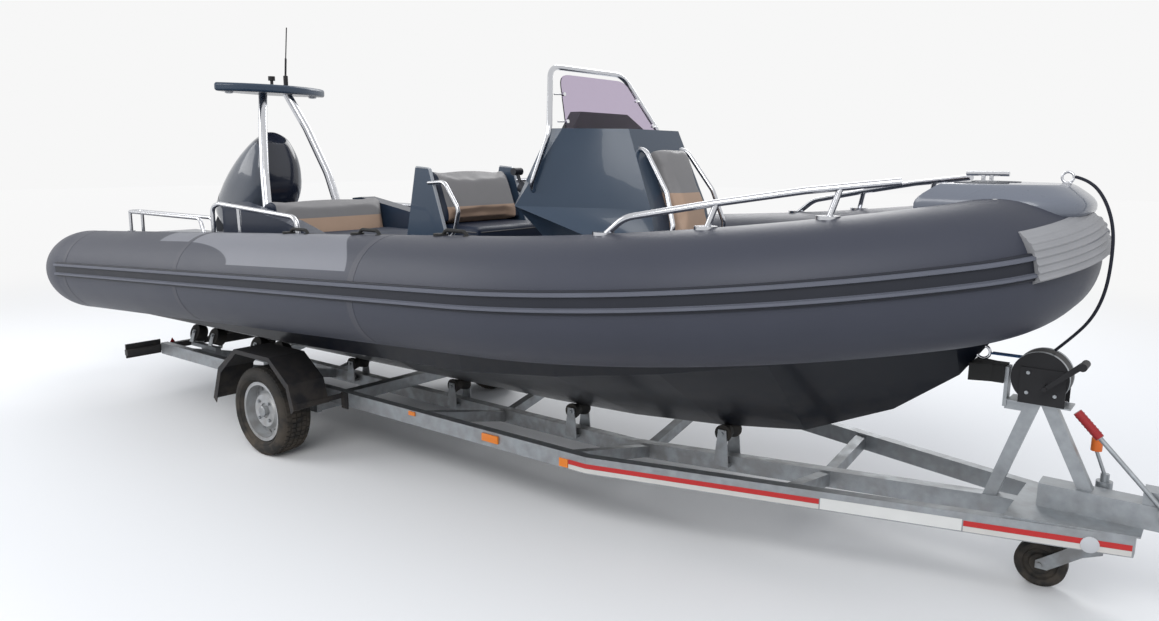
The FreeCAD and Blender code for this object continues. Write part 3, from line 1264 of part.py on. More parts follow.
def rim(side):
    """Steel wheel: barrel with flanges, slotted disc and the hub that runs on the stub."""
    y = WHEEL_Y
    r = TYRE_DIA / 2
    half = RIM_WIDE / 2
    t = RIM_THICK
    barrel = ((-half, FLANGE_R), (-half + t - 0.5, FLANGE_R), (-half + t - 0.5, BEAD_R), (half - t + 0.5, BEAD_R),
              (half - t + 0.5, FLANGE_R), (half, FLANGE_R), (half, BEAD_R - t), (-half, BEAD_R - t))
    disc_y = half - 52
    disc = ((disc_y, HUB_R - 4), (disc_y + 26, HUB_R - 4), (disc_y + 30, 95), (disc_y + 6, 112), (disc_y - 14, BEAD_R - t),
            (disc_y - 22, BEAD_R - t), (disc_y - 2, 110), (disc_y + 20, 92), (disc_y + 16, HUB_R + 6), (disc_y, HUB_R + 6))
    ring = revolve([(0, y + a, r + b) for a, b in barrel], (0, y, r), (0, 1, 0))
    web = revolve([(0, y + a, r + b) for a, b in disc], (0, y, r), (0, 1, 0))
    slots = []
    for k in range(RIM_SLOTS):
        slot = box(-9, 9, y - 60, y + 60, r + 118, r + 142)
        slots.append(turned(slot, 360.0 / RIM_SLOTS * k, (0, y, r), (0, 1, 0)))
    web = web.cut(slots[0].multiFuse(slots[1:]))
    hub_in = RAIL_Y + RAIL_WIDE / 2 + 5 + ARM_THICK + 4
    hub = cyl((0, hub_in, r), (0, y + disc_y + 16, r), HUB_R)
    cap = cyl((0, y + disc_y + 16, r), (0, y + disc_y + 44, r), 30)
    bore = cyl((0, hub_in - 1, r), (0, WHEEL_Y + 14, r), STUB_R + STUB_CLEAR)
    wheel = fuse([ring, web, hub, cap]).cut(bore)
    return wheel if side > 0 else mirrored(wheel)


# Rope from the bow fitting down to the winch: a free length of soft line
ROPE_R = 6.0
ROPE_ROUTE = ((3910.0, 0.0, 1688.0), (3965.0, -4.0, 1672.0), (4040.0, -10.0, 1600.0), (4072.0, -14.0, 1490.0),
              (4078.0, -12.0, 1370.0), (4062.0, -4.0, 1255.0), (4020.0, 8.0, 1150.0), (3955.0, 14.0, 1070.0),
              (3902.0, 10.0, 1015.5))


def rope_solid(route, radius):
    """Tube along straight runs joined by tangent arcs, as large as the runs allow."""
    pts = [V(*p) for p in route]
    edges = []
    radii = []
    here = pts[0]
    for before, corner, after in zip(pts[:-2], pts[1:-1], pts[2:]):
        a = (before - corner).normalize()
        b = (after - corner).normalize()
        turn = math.pi - a.getAngle(b)
        set_back = 0.45 * min((before - corner).Length, (after - corner).Length)
        r = set_back / math.tan(turn / 2.0)
        radii.append(r)
        start = corner + a * set_back
        end = corner + b * set_back
        half = (math.pi - turn) / 2.0
        middle = corner + (a + b).normalize() * (r / math.sin(half) - r)
        edges.append(Part.LineSegment(here, start).toShape())
        edges.append(Part.Arc(start, middle, end).toShape())
        here = end
    edges.append(Part.LineSegment(here, pts[-1]).toShape())
    path = Part.Wire(edges)
    ring = Part.Wire(Part.makeCircle(radius, pts[0], (pts[1] - pts[0]).normalize()))
    solid = path.makePipeShell([ring], True, False)
    share = solid.Volume / (math.pi * radius ** 2 * path.Length)
    print("rope length %.0f, radii %s, volume share %.4f" % (path.Length, [round(r) for r in radii], share))
    return solid


def winch_strap():
    return box(STRAP_EYE_X + 14.5, WINCH_CENTRE[0] - 62, -25, 25, STRAP_Z, STRAP_Z + 3)


def build():
    pad, upright = bow_snubber()
    nodes = {
        "hull": hull(),
        "tube_starboard": TUBE,
        "tube_port": mirrored(TUBE),
        "rubbing_strake": both_sides(rubbing_strake()),
        "deck": deck(),
        "transom": transom(),
        "foredeck": foredeck(),
        "bow_lid": bow_lid(),
        "bow_step": bow_step(),
        "bow_fittings": bow_fittings(),
        "bow_rails": bow_rails(),
        "stern_rails": group([stern_rails(), stern_hoops()]),
        "lift_handles": lift_handles(),
        "console_shell": console_shell(),
        "dash_panel": group([dash_panel(), throttle()]),
        "helm_wheel": helm_wheel(),
        "windscreen_frame": windscreen_frame(),
        "windscreen": windscreen(),
        "console_seat": console_seat(),
        "helm_seat_pod": helm_seat_pod(),
        "helm_seat_pads": helm_seat_pads(),
        "seat_rails": seat_rails(),
        "bench_pod": bench_pod(),
        "bench_lid": bench_lid(),
        "bench_cushion": bench_cushion(),
        "bench_back": bench_back(),
        "stern_decks": stern_decks(),
        "arch_legs": arch_legs(),
        "arch_wing": arch_wing(),
        "arch_lights": arch_lights(),
        "engine_bracket": engine_bracket(),
        "engine_swivel": engine_swivel(),
        "engine_cowl": engine_cowl(),
        "engine_leg": engine_leg(),
        "propeller": propeller(),
        "side_rails": side_rails(),
        "centre_spine": centre_spine(),
        "cross_members": cross_members(),
        "drawbar": drawbar(),
        "coupling_head": coupling_head(),
        "handbrake_lever": handbrake_lever(),
        "axle": axle(),
        "mudguards": mudguards(),
        "keel_rollers": keel_rollers(),
        "roller_brackets": roller_brackets(),
        "side_rollers": side_rollers(),
        "side_cradles": side_cradles(),
        "winch_post": winch_post().fuse(upright).removeSplitter(),
        "bow_snubber": pad,
        "winch": winch(),
        "winch_strap": winch_strap(),
        "painter_rope": rope_solid(ROPE_ROUTE, ROPE_R),
        "jockey_tube": jockey_tube(),
        "jockey_fork": jockey_fork(),
        "jockey_wheel": jockey_wheel(),
        "light_board": light_board(),
        "tyre_starboard": tyre(-1),
        "rim_starboard": rim(-1),
        "tyre_port": tyre(1),
        "rim_port": rim(1),
    }
    for node, shape in nodes.items():
        save(node, shape)
        box_now = shape.BoundBox
        print("%-18s solids %d valid %s volume %.2f l  x %.0f %.0f y %.0f %.0f z %.0f %.0f" % (
            node, len(shape.Solids), shape.isValid(), shape.Volume / 1e6, box_now.XMin, box_now.XMax,
            box_now.YMin, box_now.YMax, box_now.ZMin, box_now.ZMax))


build()
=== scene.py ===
# %% [markdown]
# The boat and its trailer arrive as solids that already have their real sizes and places. This lesson dresses
# them: finishes for every solid, seat pads that look stuffed, a soft rope, and the small trim. The first cell
# loads the solids. Nothing that is added may make it bigger.

import json
import math

import bmesh
import bpy
from mathutils import Matrix, Vector
from mathutils.bvhtree import BVHTree


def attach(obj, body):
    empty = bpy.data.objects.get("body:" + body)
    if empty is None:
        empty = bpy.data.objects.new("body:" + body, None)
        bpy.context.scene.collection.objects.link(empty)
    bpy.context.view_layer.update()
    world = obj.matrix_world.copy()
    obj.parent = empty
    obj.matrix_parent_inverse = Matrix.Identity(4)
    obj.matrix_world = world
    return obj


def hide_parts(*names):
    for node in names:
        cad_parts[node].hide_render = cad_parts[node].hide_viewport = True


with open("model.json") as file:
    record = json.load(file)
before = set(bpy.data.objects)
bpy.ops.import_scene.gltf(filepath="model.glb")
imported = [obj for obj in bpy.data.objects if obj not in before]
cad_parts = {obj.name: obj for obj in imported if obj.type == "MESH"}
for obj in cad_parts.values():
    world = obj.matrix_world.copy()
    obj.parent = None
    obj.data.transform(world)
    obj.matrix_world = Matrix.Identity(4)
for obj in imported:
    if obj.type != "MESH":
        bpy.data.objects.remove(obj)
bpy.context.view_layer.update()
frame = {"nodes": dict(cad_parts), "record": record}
nodes = frame["nodes"]
ROOT = "boat_and_trailer"
SIDES = ((-1, "starboard"), (1, "port"))
ORIGIN_X = 1.1315       # the part's own measures start at the wheels, this far behind the frame's middle


def at(x, y, z):
    """A place given in the part's own millimetres."""
    return Vector((x / 1000 - ORIGIN_X, y / 1000, z / 1000))


print("loaded", len(nodes), "solids")

# %% [markdown]
# The photograph was taken from off the boat's starboard bow, with a wide lens. A pinhole camera was fitted to the
# wheel, the tubes and the trailer rails, and its place, turn and tilt are written here. A camera could be moved
# until the picture looks right, but a fitted one gives every measure the same scale.

# %% Camera
CAMERA_PLACE = (3.3202, -3.7759, 1.7575)
CAMERA_TURN = math.radians(37.506)
CAMERA_DIP = math.radians(10.185)
CAMERA_ROLL = math.radians(0.478)
CAMERA_LENS = 27.04


def added(name, data):
    """An object made from its data and put in the scene."""
    made = bpy.data.objects.new(name, data)
    bpy.context.scene.collection.objects.link(made)
    return made


camera = added("camera", bpy.data.cameras.new("camera"))
camera.data.sensor_fit = "HORIZONTAL"
camera.data.sensor_width = 36.0
camera.data.lens = CAMERA_LENS
camera.matrix_world = (
    Matrix.Translation(CAMERA_PLACE)
    @ Matrix.Rotation(CAMERA_TURN, 4, "Z")
    @ Matrix.Rotation(math.pi / 2 - CAMERA_DIP, 4, "X")
    @ Matrix.Rotation(CAMERA_ROLL, 4, "Z")
)
bpy.context.scene.camera = camera
print("camera at", CAMERA_PLACE)

# %% [markdown]
# No real surface has one colour all over: fabric fades, gel coat dulls and zinc clouds. The same wandering of
# colour and roughness suits them all, so it is built once, as a node group called grain, with its scale and its
# strength as inputs, and each material holds it with its own values.

# %% Grain group
def new_group(name, inputs, outputs):
    """A shader group with named sockets, colours and plain numbers, its input and output nodes in place."""
    group = bpy.data.node_groups.new(name, "ShaderNodeTree")
    for socket, value in inputs:
        kind = "NodeSocketFloat" if isinstance(value, float) else "NodeSocketColor"
        group.interface.new_socket(name=socket, in_out="INPUT", socket_type=kind).default_value = value
    for socket in outputs:
        kind = "NodeSocketColor" if socket == "Colour" else "NodeSocketFloat"
        group.interface.new_socket(name=socket, in_out="OUTPUT", socket_type=kind)
    return group, group.nodes.new("NodeGroupInput"), group.nodes.new("NodeGroupOutput")


def place(tree, kind, **values):
    """Adds a node, setting its fields, or its sockets where the name is a socket's."""
    node = tree.nodes.new(kind)
    for name, value in values.items():
        if hasattr(node, name):
            setattr(node, name, value)
        else:
            node.inputs[name.replace("_", " ")].default_value = value
    return node


def maths(tree, operation, first, second=0.0):
    """A Math node fed by sockets or plain numbers; gives its output socket."""
    node = tree.nodes.new("ShaderNodeMath")
    node.operation = operation
    for slot, value in enumerate((first, second)):
        if isinstance(value, bpy.types.NodeSocket):
            tree.links.new(value, node.inputs[slot])
        else:
            node.inputs[slot].default_value = value
    return node.outputs[0]


def blend_colour(tree, share, first, second):
    """A colour Mix node fed by sockets or plain colours; gives its output socket."""
    node = tree.nodes.new("ShaderNodeMix")
    node.data_type = "RGBA"
    for socket, value in ((node.inputs[0], share), (node.inputs[6], first), (node.inputs[7], second)):
        if isinstance(value, bpy.types.NodeSocket):
            tree.links.new(value, socket)
        else:
            socket.default_value = value
    return node.outputs[2]


def ramp(tree, value, low, high):
    """0 below low, 1 above high."""
    node = tree.nodes.new("ShaderNodeMapRange")
    node.interpolation_type = "SMOOTHSTEP"
    node.inputs["From Min"].default_value = low
    node.inputs["From Max"].default_value = high
    tree.links.new(value, node.inputs["Value"])
    return node.outputs["Result"]


def spot(tree, axis):
    """The object's own X, Y or Z as a socket."""
    where = tree.nodes.new("ShaderNodeTexCoord")
    split = tree.nodes.new("ShaderNodeSeparateXYZ")
    tree.links.new(where.outputs["Object"], split.inputs[0])
    return split.outputs[axis]


PLAIN = [("Colour", (0.5, 0.5, 0.5, 1)), ("Roughness", 0.5)]
grain_group, g_in, g_out = new_group("grain", PLAIN + [
    ("Scale", 8.0), ("Fine scale", 300.0), ("Colour change", 0.15), ("Roughness change", 0.15)],
    ("Colour", "Roughness", "Height"))
where = grain_group.nodes.new("ShaderNodeTexCoord")
wide = place(grain_group, "ShaderNodeTexNoise", Detail=4.0)
fine = place(grain_group, "ShaderNodeTexNoise", Detail=2.0)
for noise, scale in ((wide, "Scale"), (fine, "Fine scale")):
    grain_group.links.new(where.outputs["Object"], noise.inputs["Vector"])
    grain_group.links.new(g_in.outputs[scale], noise.inputs["Scale"])
drift = maths(grain_group, "SUBTRACT", wide.outputs["Fac"], 0.5)
swing = maths(grain_group, "MULTIPLY", maths(grain_group, "MULTIPLY", drift, 2.0), g_in.outputs["Colour change"])
tinted = grain_group.nodes.new("ShaderNodeVectorMath")
tinted.operation = "SCALE"
grain_group.links.new(g_in.outputs["Colour"], tinted.inputs[0])
grain_group.links.new(maths(grain_group, "ADD", swing, 1.0), tinted.inputs["Scale"])
grain_group.links.new(tinted.outputs[0], g_out.inputs["Colour"])
rough = maths(grain_group, "ADD", g_in.outputs["Roughness"],
              maths(grain_group, "MULTIPLY", drift, g_in.outputs["Roughness change"]))
grain_group.links.new(rough, g_out.inputs["Roughness"])
grain_group.links.new(fine.outputs["Fac"], g_out.inputs["Height"])
print("grain group has", len(grain_group.nodes), "nodes")

# %% [markdown]
# The second effect is road dirt. Spray from the wheels dries as a pale brown film that is thickest low down. It
# could be painted, but height over the ground already says where it lies, so the mask falls with height, and noise
# breaks its edge.

# %% Road dirt group
dirt_group, g_in, g_out = new_group("road dirt", PLAIN + [
    ("Dirt", (0.16, 0.13, 0.10, 1)), ("Top", 0.6), ("Amount", 0.5)], ("Colour", "Roughness"))
where = dirt_group.nodes.new("ShaderNodeTexCoord")
patches = place(dirt_group, "ShaderNodeTexNoise", Scale=14.0, Detail=6.0)
dirt_group.links.new(where.outputs["Object"], patches.inputs["Vector"])
height = spot(dirt_group, "Z")
fall = maths(dirt_group, "SUBTRACT", 1.0, maths(dirt_group, "DIVIDE", height, g_in.outputs["Top"]))
low_down = maths(dirt_group, "MAXIMUM", fall, 0.0)
broken = maths(dirt_group, "MULTIPLY", low_down, ramp(dirt_group, patches.outputs["Fac"], 0.35, 0.65))
mask = maths(dirt_group, "MULTIPLY", broken, g_in.outputs["Amount"])
dirty = blend_colour(dirt_group, mask, g_in.outputs["Colour"], g_in.outputs["Dirt"])
dirt_group.links.new(dirty, g_out.inputs["Colour"])
dirt_group.links.new(maths(dirt_group, "ADD", g_in.outputs["Roughness"], maths(dirt_group, "MULTIPLY", mask, 0.4)),
                     g_out.inputs["Roughness"])
print("dirt group has", len(dirt_group.nodes), "nodes")

# %% [markdown]
# A short function makes a material from these groups. The plain numbers, such as metal or coat, go straight on
# the shader, and only what changes over the surface comes through the nodes. A second colour can be laid over
# part of a surface by a mask, which is how painted panels and two-tone vinyl are made.

# %% Material maker
def finish(name, colour, roughness, metallic=0.0, coat=0.0, scale=8.0, fine=300.0, change=0.15, rough_change=0.15,
           bump=0.0004, dirt=0.0, dirt_top=0.6, over=()):
    """A Principled material with grain, a fine bump, second colours and, where dirt is given, road dirt."""
    material = bpy.data.materials.new(name)
    material.use_nodes = True
    tree = material.node_tree
    shader = tree.nodes["Principled BSDF"]
    grain = tree.nodes.new("ShaderNodeGroup")
    grain.node_tree = grain_group
    grain.inputs["Colour"].default_value = (*colour, 1.0)
    for socket, value in (("Roughness", roughness), ("Scale", scale), ("Fine scale", fine), ("Colour change", change),
                          ("Roughness change", rough_change)):
        grain.inputs[socket].default_value = value
    layered = (*colour, 1.0)
    for second, mask_maker in over:
        layered = blend_colour(tree, mask_maker(tree), layered, (*second, 1.0))
    if over:
        tree.links.new(layered, grain.inputs["Colour"])
    last = grain
    if dirt:
        last = tree.nodes.new("ShaderNodeGroup")
        last.node_tree = dirt_group
        last.inputs["Amount"].default_value = dirt
        last.inputs["Top"].default_value = dirt_top
    for socket, inlet in (("Colour", "Base Color"), ("Roughness", "Roughness")):
        if dirt:
            tree.links.new(grain.outputs[socket], last.inputs[socket])
        tree.links.new(last.outputs[socket], shader.inputs[inlet])
    relief = place(tree, "ShaderNodeBump", Distance=bump, Strength=0.6)
    tree.links.new(grain.outputs["Height"], relief.inputs["Height"])
    tree.links.new(relief.outputs["Normal"], shader.inputs["Normal"])
    shader.inputs["Specular IOR Level"].default_value = 0.5 if metallic else 0.28
    shader.inputs["Metallic"].default_value = metallic
    shader.inputs["Coat Weight"].default_value = coat
    return material


def below(z, edge=0.001):
    """Mask of what lies under a height."""
    def mask(tree):
        return maths(tree, "SUBTRACT", 1.0, ramp(tree, spot(tree, "Z"), z - edge, z + edge))
    return mask


def outside(y, edge=0.001):
    """Mask of what lies further out than a distance from the middle."""
    def mask(tree):
        return ramp(tree, maths(tree, "ABSOLUTE", spot(tree, "Y")), y - edge, y + edge)
    return mask


print("material maker ready")

# %% [markdown]
# Most solids keep their own mesh and only need a finish. The tubes carry a pale fabric panel near the stern, the
# strake has two paler ribs and the bench has navy arms. A picture could paint these, but a mask worked out from the
# place on the object stays sharp at any distance, so each one is a small function that gives a mask.

# %% Masks for painted areas
SHEER_SLOPE = 0.053         # how fast the straight tubes rise towards the bow
PANEL_FOOT = 1.150          # height of the panel's lower edge, over the wheels
PANEL_STERN, PANEL_OUT = -0.78, 1.02
# Both tubes lie in one plane that leans: along the boat, in across the starboard tube, and up from the plane.
ALONG = Vector((0.99859845, 0.0, 0.05292572))
INWARD = Vector((-0.00784026, 0.98896683, 0.14792949))
UPWARD = ALONG.cross(INWARD)
BOW_START = at(1784.1, -1000.0, 1128.56)
STRAKE_RISE, RIB_OFF = 0.0678, 0.0296       # the strake's middle over the plane, and each rib from there
ARM_Y, ARM_Z = 0.470, 1.121


def stern_panel(tree):
    """Mask of the pale fabric panel on each tube's outer face, with its swept front and the dark lobe under it."""
    x = maths(tree, "ADD", spot(tree, "X"), ORIGIN_X)
    foot = maths(tree, "ADD", PANEL_FOOT, maths(tree, "MULTIPLY", x, SHEER_SLOPE))
    rise = maths(tree, "SUBTRACT", spot(tree, "Z"), foot)

    def reach(from_x, long, tall, start):
        """How far a point is from an ellipse's middle, in its own radii, counted only ahead of the start."""
        along = maths(tree, "MAXIMUM", maths(tree, "DIVIDE", maths(tree, "SUBTRACT", x, from_x), long), start)
        up = maths(tree, "DIVIDE", rise, tall)
        return maths(tree, "ADD", maths(tree, "MULTIPLY", along, along), maths(tree, "MULTIPLY", up, up))

    front = maths(tree, "SUBTRACT", 1.0, ramp(tree, reach(0.30, 0.82, 0.23, 0.0), 0.99, 1.01))
    off_lobe = ramp(tree, reach(-0.50, 0.60, 0.11, 0.0), 0.97, 1.03)
    inside = maths(tree, "MULTIPLY", ramp(tree, rise, -0.001, 0.001),
                   ramp(tree, x, PANEL_STERN - 0.002, PANEL_STERN + 0.002))
    outward = outside(PANEL_OUT)(tree)
    return maths(tree, "MULTIPLY", maths(tree, "MULTIPLY", front, off_lobe), maths(tree, "MULTIPLY", inside, outward))


def strake_ribs(tree):
    """Mask of the strake's two ribs, which keep their height over the plane that the tubes lie in."""
    out = maths(tree, "ABSOLUTE", spot(tree, "Y"))
    level = maths(tree, "MULTIPLY", spot(tree, "X"), UPWARD.x)
    level = maths(tree, "ADD", level, maths(tree, "MULTIPLY", out, -UPWARD.y))
    level = maths(tree, "ADD", level, maths(tree, "MULTIPLY", spot(tree, "Z"), UPWARD.z))
    off = maths(tree, "ABSOLUTE", maths(tree, "SUBTRACT", level, UPWARD.dot(BOW_START) + STRAKE_RISE))
    from_rib = maths(tree, "ABSOLUTE", maths(tree, "SUBTRACT", off, RIB_OFF))
    return maths(tree, "SUBTRACT", 1.0, ramp(tree, from_rib, 0.0075, 0.0095))


def arm_top(tree):
    """Mask of the bench's padded arms: out beyond the seat and above its base."""
    above = ramp(tree, spot(tree, "Z"), ARM_Z - 0.0005, ARM_Z + 0.0005)
    return maths(tree, "MULTIPLY", outside(ARM_Y, edge=0.0005)(tree), above)


print("masks: stern panel, strake ribs, arm tops")

# %% [markdown]
# The table names each finish once, with the numbers that make it. Charcoal tube fabric is matt, gel coat shines
# under a clear coat, and zinc is a rough, cloudy metal. Dirt is given only to what the road spray reaches.

# %% Finishes for the solids
NAVY_VINYL, GREY_VINYL, TAN_VINYL = (0.010, 0.017, 0.036), (0.235, 0.228, 0.228), (0.47, 0.325, 0.235)
FINISHES = {
    "hull_navy": finish("hull gel coat", (0.006, 0.008, 0.014), 0.3, coat=0.15, scale=2.0, change=0.2, dirt=0.2,
                        dirt_top=0.9),
    "tube_grey": finish("tube fabric", (0.046, 0.050, 0.068), 0.45, scale=3.0, fine=900.0, change=0.1, bump=0.0005,
                        over=(((0.185, 0.190, 0.215), stern_panel),)),
    "strake_grey": finish("strake rubber", (0.018, 0.020, 0.028), 0.5, scale=6.0, change=0.15,
                          over=(((0.115, 0.122, 0.150), strake_ribs),)),
    "moulding_blue_grey": finish("blue grey gel coat", (0.036, 0.058, 0.092), 0.3, coat=0.25, scale=3.0,
                                 change=0.08),
    "deck_grey": finish("deck tread", (0.27, 0.28, 0.29), 0.75, fine=160.0, bump=0.002),
    "module_grey": finish("grey moulding", (0.15, 0.16, 0.185), 0.38, coat=0.3, scale=4.0, change=0.08),
    "dash_black": finish("dash plastic", (0.018, 0.020, 0.026), 0.5, fine=700.0),
    "upholstery": finish("seat vinyl", GREY_VINYL, 0.55, fine=500.0),
    "stainless": finish("stainless tube", (0.56, 0.57, 0.60), 0.16, metallic=1.0, change=0.03, rough_change=0.1),
    "galvanised": finish("zinc coat", (0.34, 0.36, 0.38), 0.46, metallic=0.85, scale=26.0, change=0.28,
                         rough_change=0.3, dirt=0.5, dirt_top=0.55),
    "engine_grey": finish("cowl paint", (0.035, 0.042, 0.062), 0.22, coat=0.6, change=0.05),
    "engine_leg": finish("leg paint", (0.040, 0.043, 0.052), 0.4, coat=0.2),
    "black_plastic": finish("black plastic", (0.016, 0.016, 0.018), 0.55, fine=500.0, dirt=0.35, dirt_top=0.7),
    "black_rubber": finish("black rubber", (0.02, 0.02, 0.02), 0.7, dirt=0.4, dirt_top=0.7),
    "tyre_rubber": finish("tyre rubber", (0.022, 0.021, 0.020), 0.78, fine=600.0, dirt=0.55, dirt_top=0.6),
    "rim_silver": finish("rim paint", (0.42, 0.43, 0.44), 0.38, metallic=0.5, dirt=0.5, dirt_top=0.6),
    "rope_navy": finish("rope yarn", (0.018, 0.02, 0.03), 0.85, fine=900.0, bump=0.002),
    "strap_blue": finish("webbing", (0.03, 0.12, 0.30), 0.8, fine=900.0, bump=0.001),
    "lamp_red": finish("lamp board", (0.03, 0.03, 0.032), 0.5, dirt=0.3),
}
print("finishes made:", len(FINISHES))

# %% [markdown]
# The windscreen is a sheet of acrylic with a violet tint. It could be a mix of shaders, but one plain colour with
# full transmission gives the same look, and the export can read it. Only its roughness is set low.

# %% Windscreen tint
tint = bpy.data.materials.new("windscreen tint")
tint.use_nodes = True
shader = tint.node_tree.nodes["Principled BSDF"]
shader.inputs["Base Color"].default_value = (0.50, 0.43, 0.55, 1.0)
shader.inputs["Roughness"].default_value = 0.04
shader.inputs["Transmission Weight"].default_value = 1.0
shader.inputs["IOR"].default_value = 1.2
FINISHES["screen_tint"] = tint
print("tint made")

# %% [markdown]
# Each solid now takes the finish that the record names for it. The bench is a moulding whose two arms are padded
# and covered in navy vinyl, so it gets a finish of its own with a mask for the arms.

# %% Give every solid its finish
slot_of = {part["node"]: part["material_slot"] for part in frame["record"]["subparts"]}
for name, solid in nodes.items():
    solid.data.materials.clear()
    solid.data.materials.append(FINISHES[slot_of[name]])
bench_finish = finish("bench moulding", (0.036, 0.058, 0.092), 0.35, coat=0.2, scale=3.0, change=0.08,
                      over=((NAVY_VINYL, arm_top),))
nodes["bench_pod"].data.materials[0] = bench_finish
print("finished", len(nodes), "solids")

# %% [markdown]
# The trim is many small things, and nearly all of it comes from five shapes: a slab with bevelled edges, a rod, a
# profile spun about an axis, a skin drawn over a row of rings, and a bar swept along a route. Each could be modelled
# by hand, but a function that wraps a bmesh operator keeps every piece short and lets its sizes be read. The last
# function joins doubles, turns the faces outward and makes an object that rides on its body.

# %% Shapes for small pieces
def slab(shape, centre, size, turn=None, bevel=0.0):
    """A box about a centre, turned by a matrix, its edges rounded."""
    frame_of = Matrix.Translation(centre) @ (turn.to_4x4() if turn else Matrix())
    made = bmesh.ops.create_cube(shape, size=1.0, matrix=frame_of @ Matrix.Diagonal((*size, 1.0)))
    if bevel:
        edges = list({edge for vert in made["verts"] for edge in vert.link_edges})
        bmesh.ops.bevel(shape, geom=edges, offset=bevel, offset_type="OFFSET", segments=2, profile=0.5,
                        affect="EDGES", material=-1)


def toward(direction):
    """Rotation that lays the Z axis along a direction."""
    return Vector(direction).to_track_quat("Z", "Y").to_matrix()


def rod(shape, start, end, radius, far_radius=None, steps=20):
    """A round bar or a cone between two places."""
    run = end - start
    matrix = Matrix.Translation((start + end) / 2) @ toward(run).to_4x4()
    bmesh.ops.create_cone(shape, cap_ends=True, segments=steps, radius1=radius,
                          radius2=radius if far_radius is None else far_radius, depth=run.length, matrix=matrix)


def spun(shape, profile, centre, axis, steps=48):
    """A profile of (out, along) points spun all the way round an axis."""
    turn = Matrix.Translation(centre) @ toward(axis).to_4x4()
    verts = [shape.verts.new(turn @ Vector((out, 0, along))) for out, along in profile]
    edges = [shape.edges.new(pair) for pair in zip(verts, verts[1:])]
    bmesh.ops.spin(shape, geom=verts + edges, cent=centre, axis=Vector(axis).normalized(), dvec=(0, 0, 0),
                   angle=math.tau, steps=steps, use_merge=True, use_duplicate=False)


def skinned(shape, rings, capped=True):
    """A skin over rings that all have the same number of points: the first ring is extruded from one to the next."""
    verts = [shape.verts.new(point) for point in rings[0]]
    edges = [shape.edges.new(pair) for pair in zip(verts, verts[1:] + verts[:1])]
    if capped:
        bmesh.ops.edgeloop_fill(shape, edges=edges)
    for ring in rings[1:]:
        made = bmesh.ops.extrude_edge_only(shape, edges=edges)["geom"]
        fresh = {item for item in made if isinstance(item, bmesh.types.BMVert)}
        verts = [next(edge.other_vert(vert) for edge in vert.link_edges if edge.other_vert(vert) in fresh)
                 for vert in verts]
        for vert, point in zip(verts, ring):
            vert.co = point
        edges = [item for item in made if isinstance(item, bmesh.types.BMEdge) and set(item.verts) <= fresh]
    if capped:
        bmesh.ops.edgeloop_fill(shape, edges=edges)


def swept(shape, route, section, up=Vector((0, 0, 1)), closed=False):
    """A bar along a route; its section is (side, up) points, and side is to the right of the way."""
    rings = []
    last = len(route) - 1
    for index, here in enumerate(route):
        before = route[index - 1] if index or closed else here
        after = route[(index + 1) % len(route)] if index < last or closed else here
        along = (after - before).normalized()
        side = along.cross(up).normalized()
        rise = side.cross(along)
        rings.append([here + side * a + rise * b for a, b in section])
    skinned(shape, rings + rings[:1] if closed else rings, capped=not closed)


def circle(radius, steps=10):
    """A round section as (side, up) points."""
    return [(radius * math.cos(math.tau * k / steps), radius * math.sin(math.tau * k / steps)) for k in range(steps)]


def piece(name, shape, material, body=ROOT, sharp=35.0):
    """Turns a bmesh into an object that rides on a body."""
    bmesh.ops.remove_doubles(shape, verts=shape.verts, dist=0.00002)
    bmesh.ops.recalc_face_normals(shape, faces=shape.faces)
    mesh = bpy.data.meshes.new(name)
    shape.to_mesh(mesh)
    shape.free()
    for face in mesh.polygons:
        face.use_smooth = True
    mesh.set_sharp_from_angle(angle=math.radians(sharp))
    mesh.materials.append(material)
    made = added(name, mesh)
    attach(made, body)
    return made


print("shape functions ready")

# %% [markdown]
# The seats are stuffed vinyl: full in the middle, drawn in at the seams, and flat where they are held. A bevel and a
# subdivision could fake that, but a cloth with air pressure finds the crown by itself. Each pad starts as a copy of
# its solid. A solid can hold two pads, so the first helper parts a mesh into its closed shells.

# %% Part a solid into its shells
def shells(solid):
    """The closed shells of a solid's mesh as lists of faces' points, the highest first."""
    shape = bmesh.new()
    shape.from_mesh(solid.data)
    bmesh.ops.remove_doubles(shape, verts=shape.verts, dist=0.00001)
    left, found = set(shape.verts), []
    while left:
        group, front = set(), [left.pop()]
        while front:
            vert = front.pop()
            group.add(vert)
            for edge in vert.link_edges:
                other = edge.other_vert(vert)
                if other in left:
                    left.remove(other)
                    front.append(other)
        faces = {face for vert in group for face in vert.link_faces}
        found.append([[vert.co.copy() for vert in face.verts] for face in faces])
    shape.free()
    return sorted(found, key=lambda faces: -max(point.z for face in faces for point in face))


print("pads in the helm seat:", len(shells(nodes["helm_seat_pads"])))

# %% [markdown]
# The copy is made a little smaller, remeshed into even squares, and blown up for a few frames. Its points' moves are
# then averaged with their neighbours', which takes out creases that new vinyl doesn't have, and a cap and walls keep
# each point near its start and off what the pad rests on. The top of a backrest is arched, so it may drop at its sides.

# %% Pads by cloth
PAD_CAP = 0.026
PRESSURE, CLOTH_FRAMES = 4.0, 20
EVEN_START, EVEN_MOVES = 5, 14      # how often places and moves are averaged


def limits(points):
    """The lowest and the highest X, Y and Z of some points."""
    return [Vector([pick(point[i] for point in points) for i in range(3)]) for pick in (min, max)]


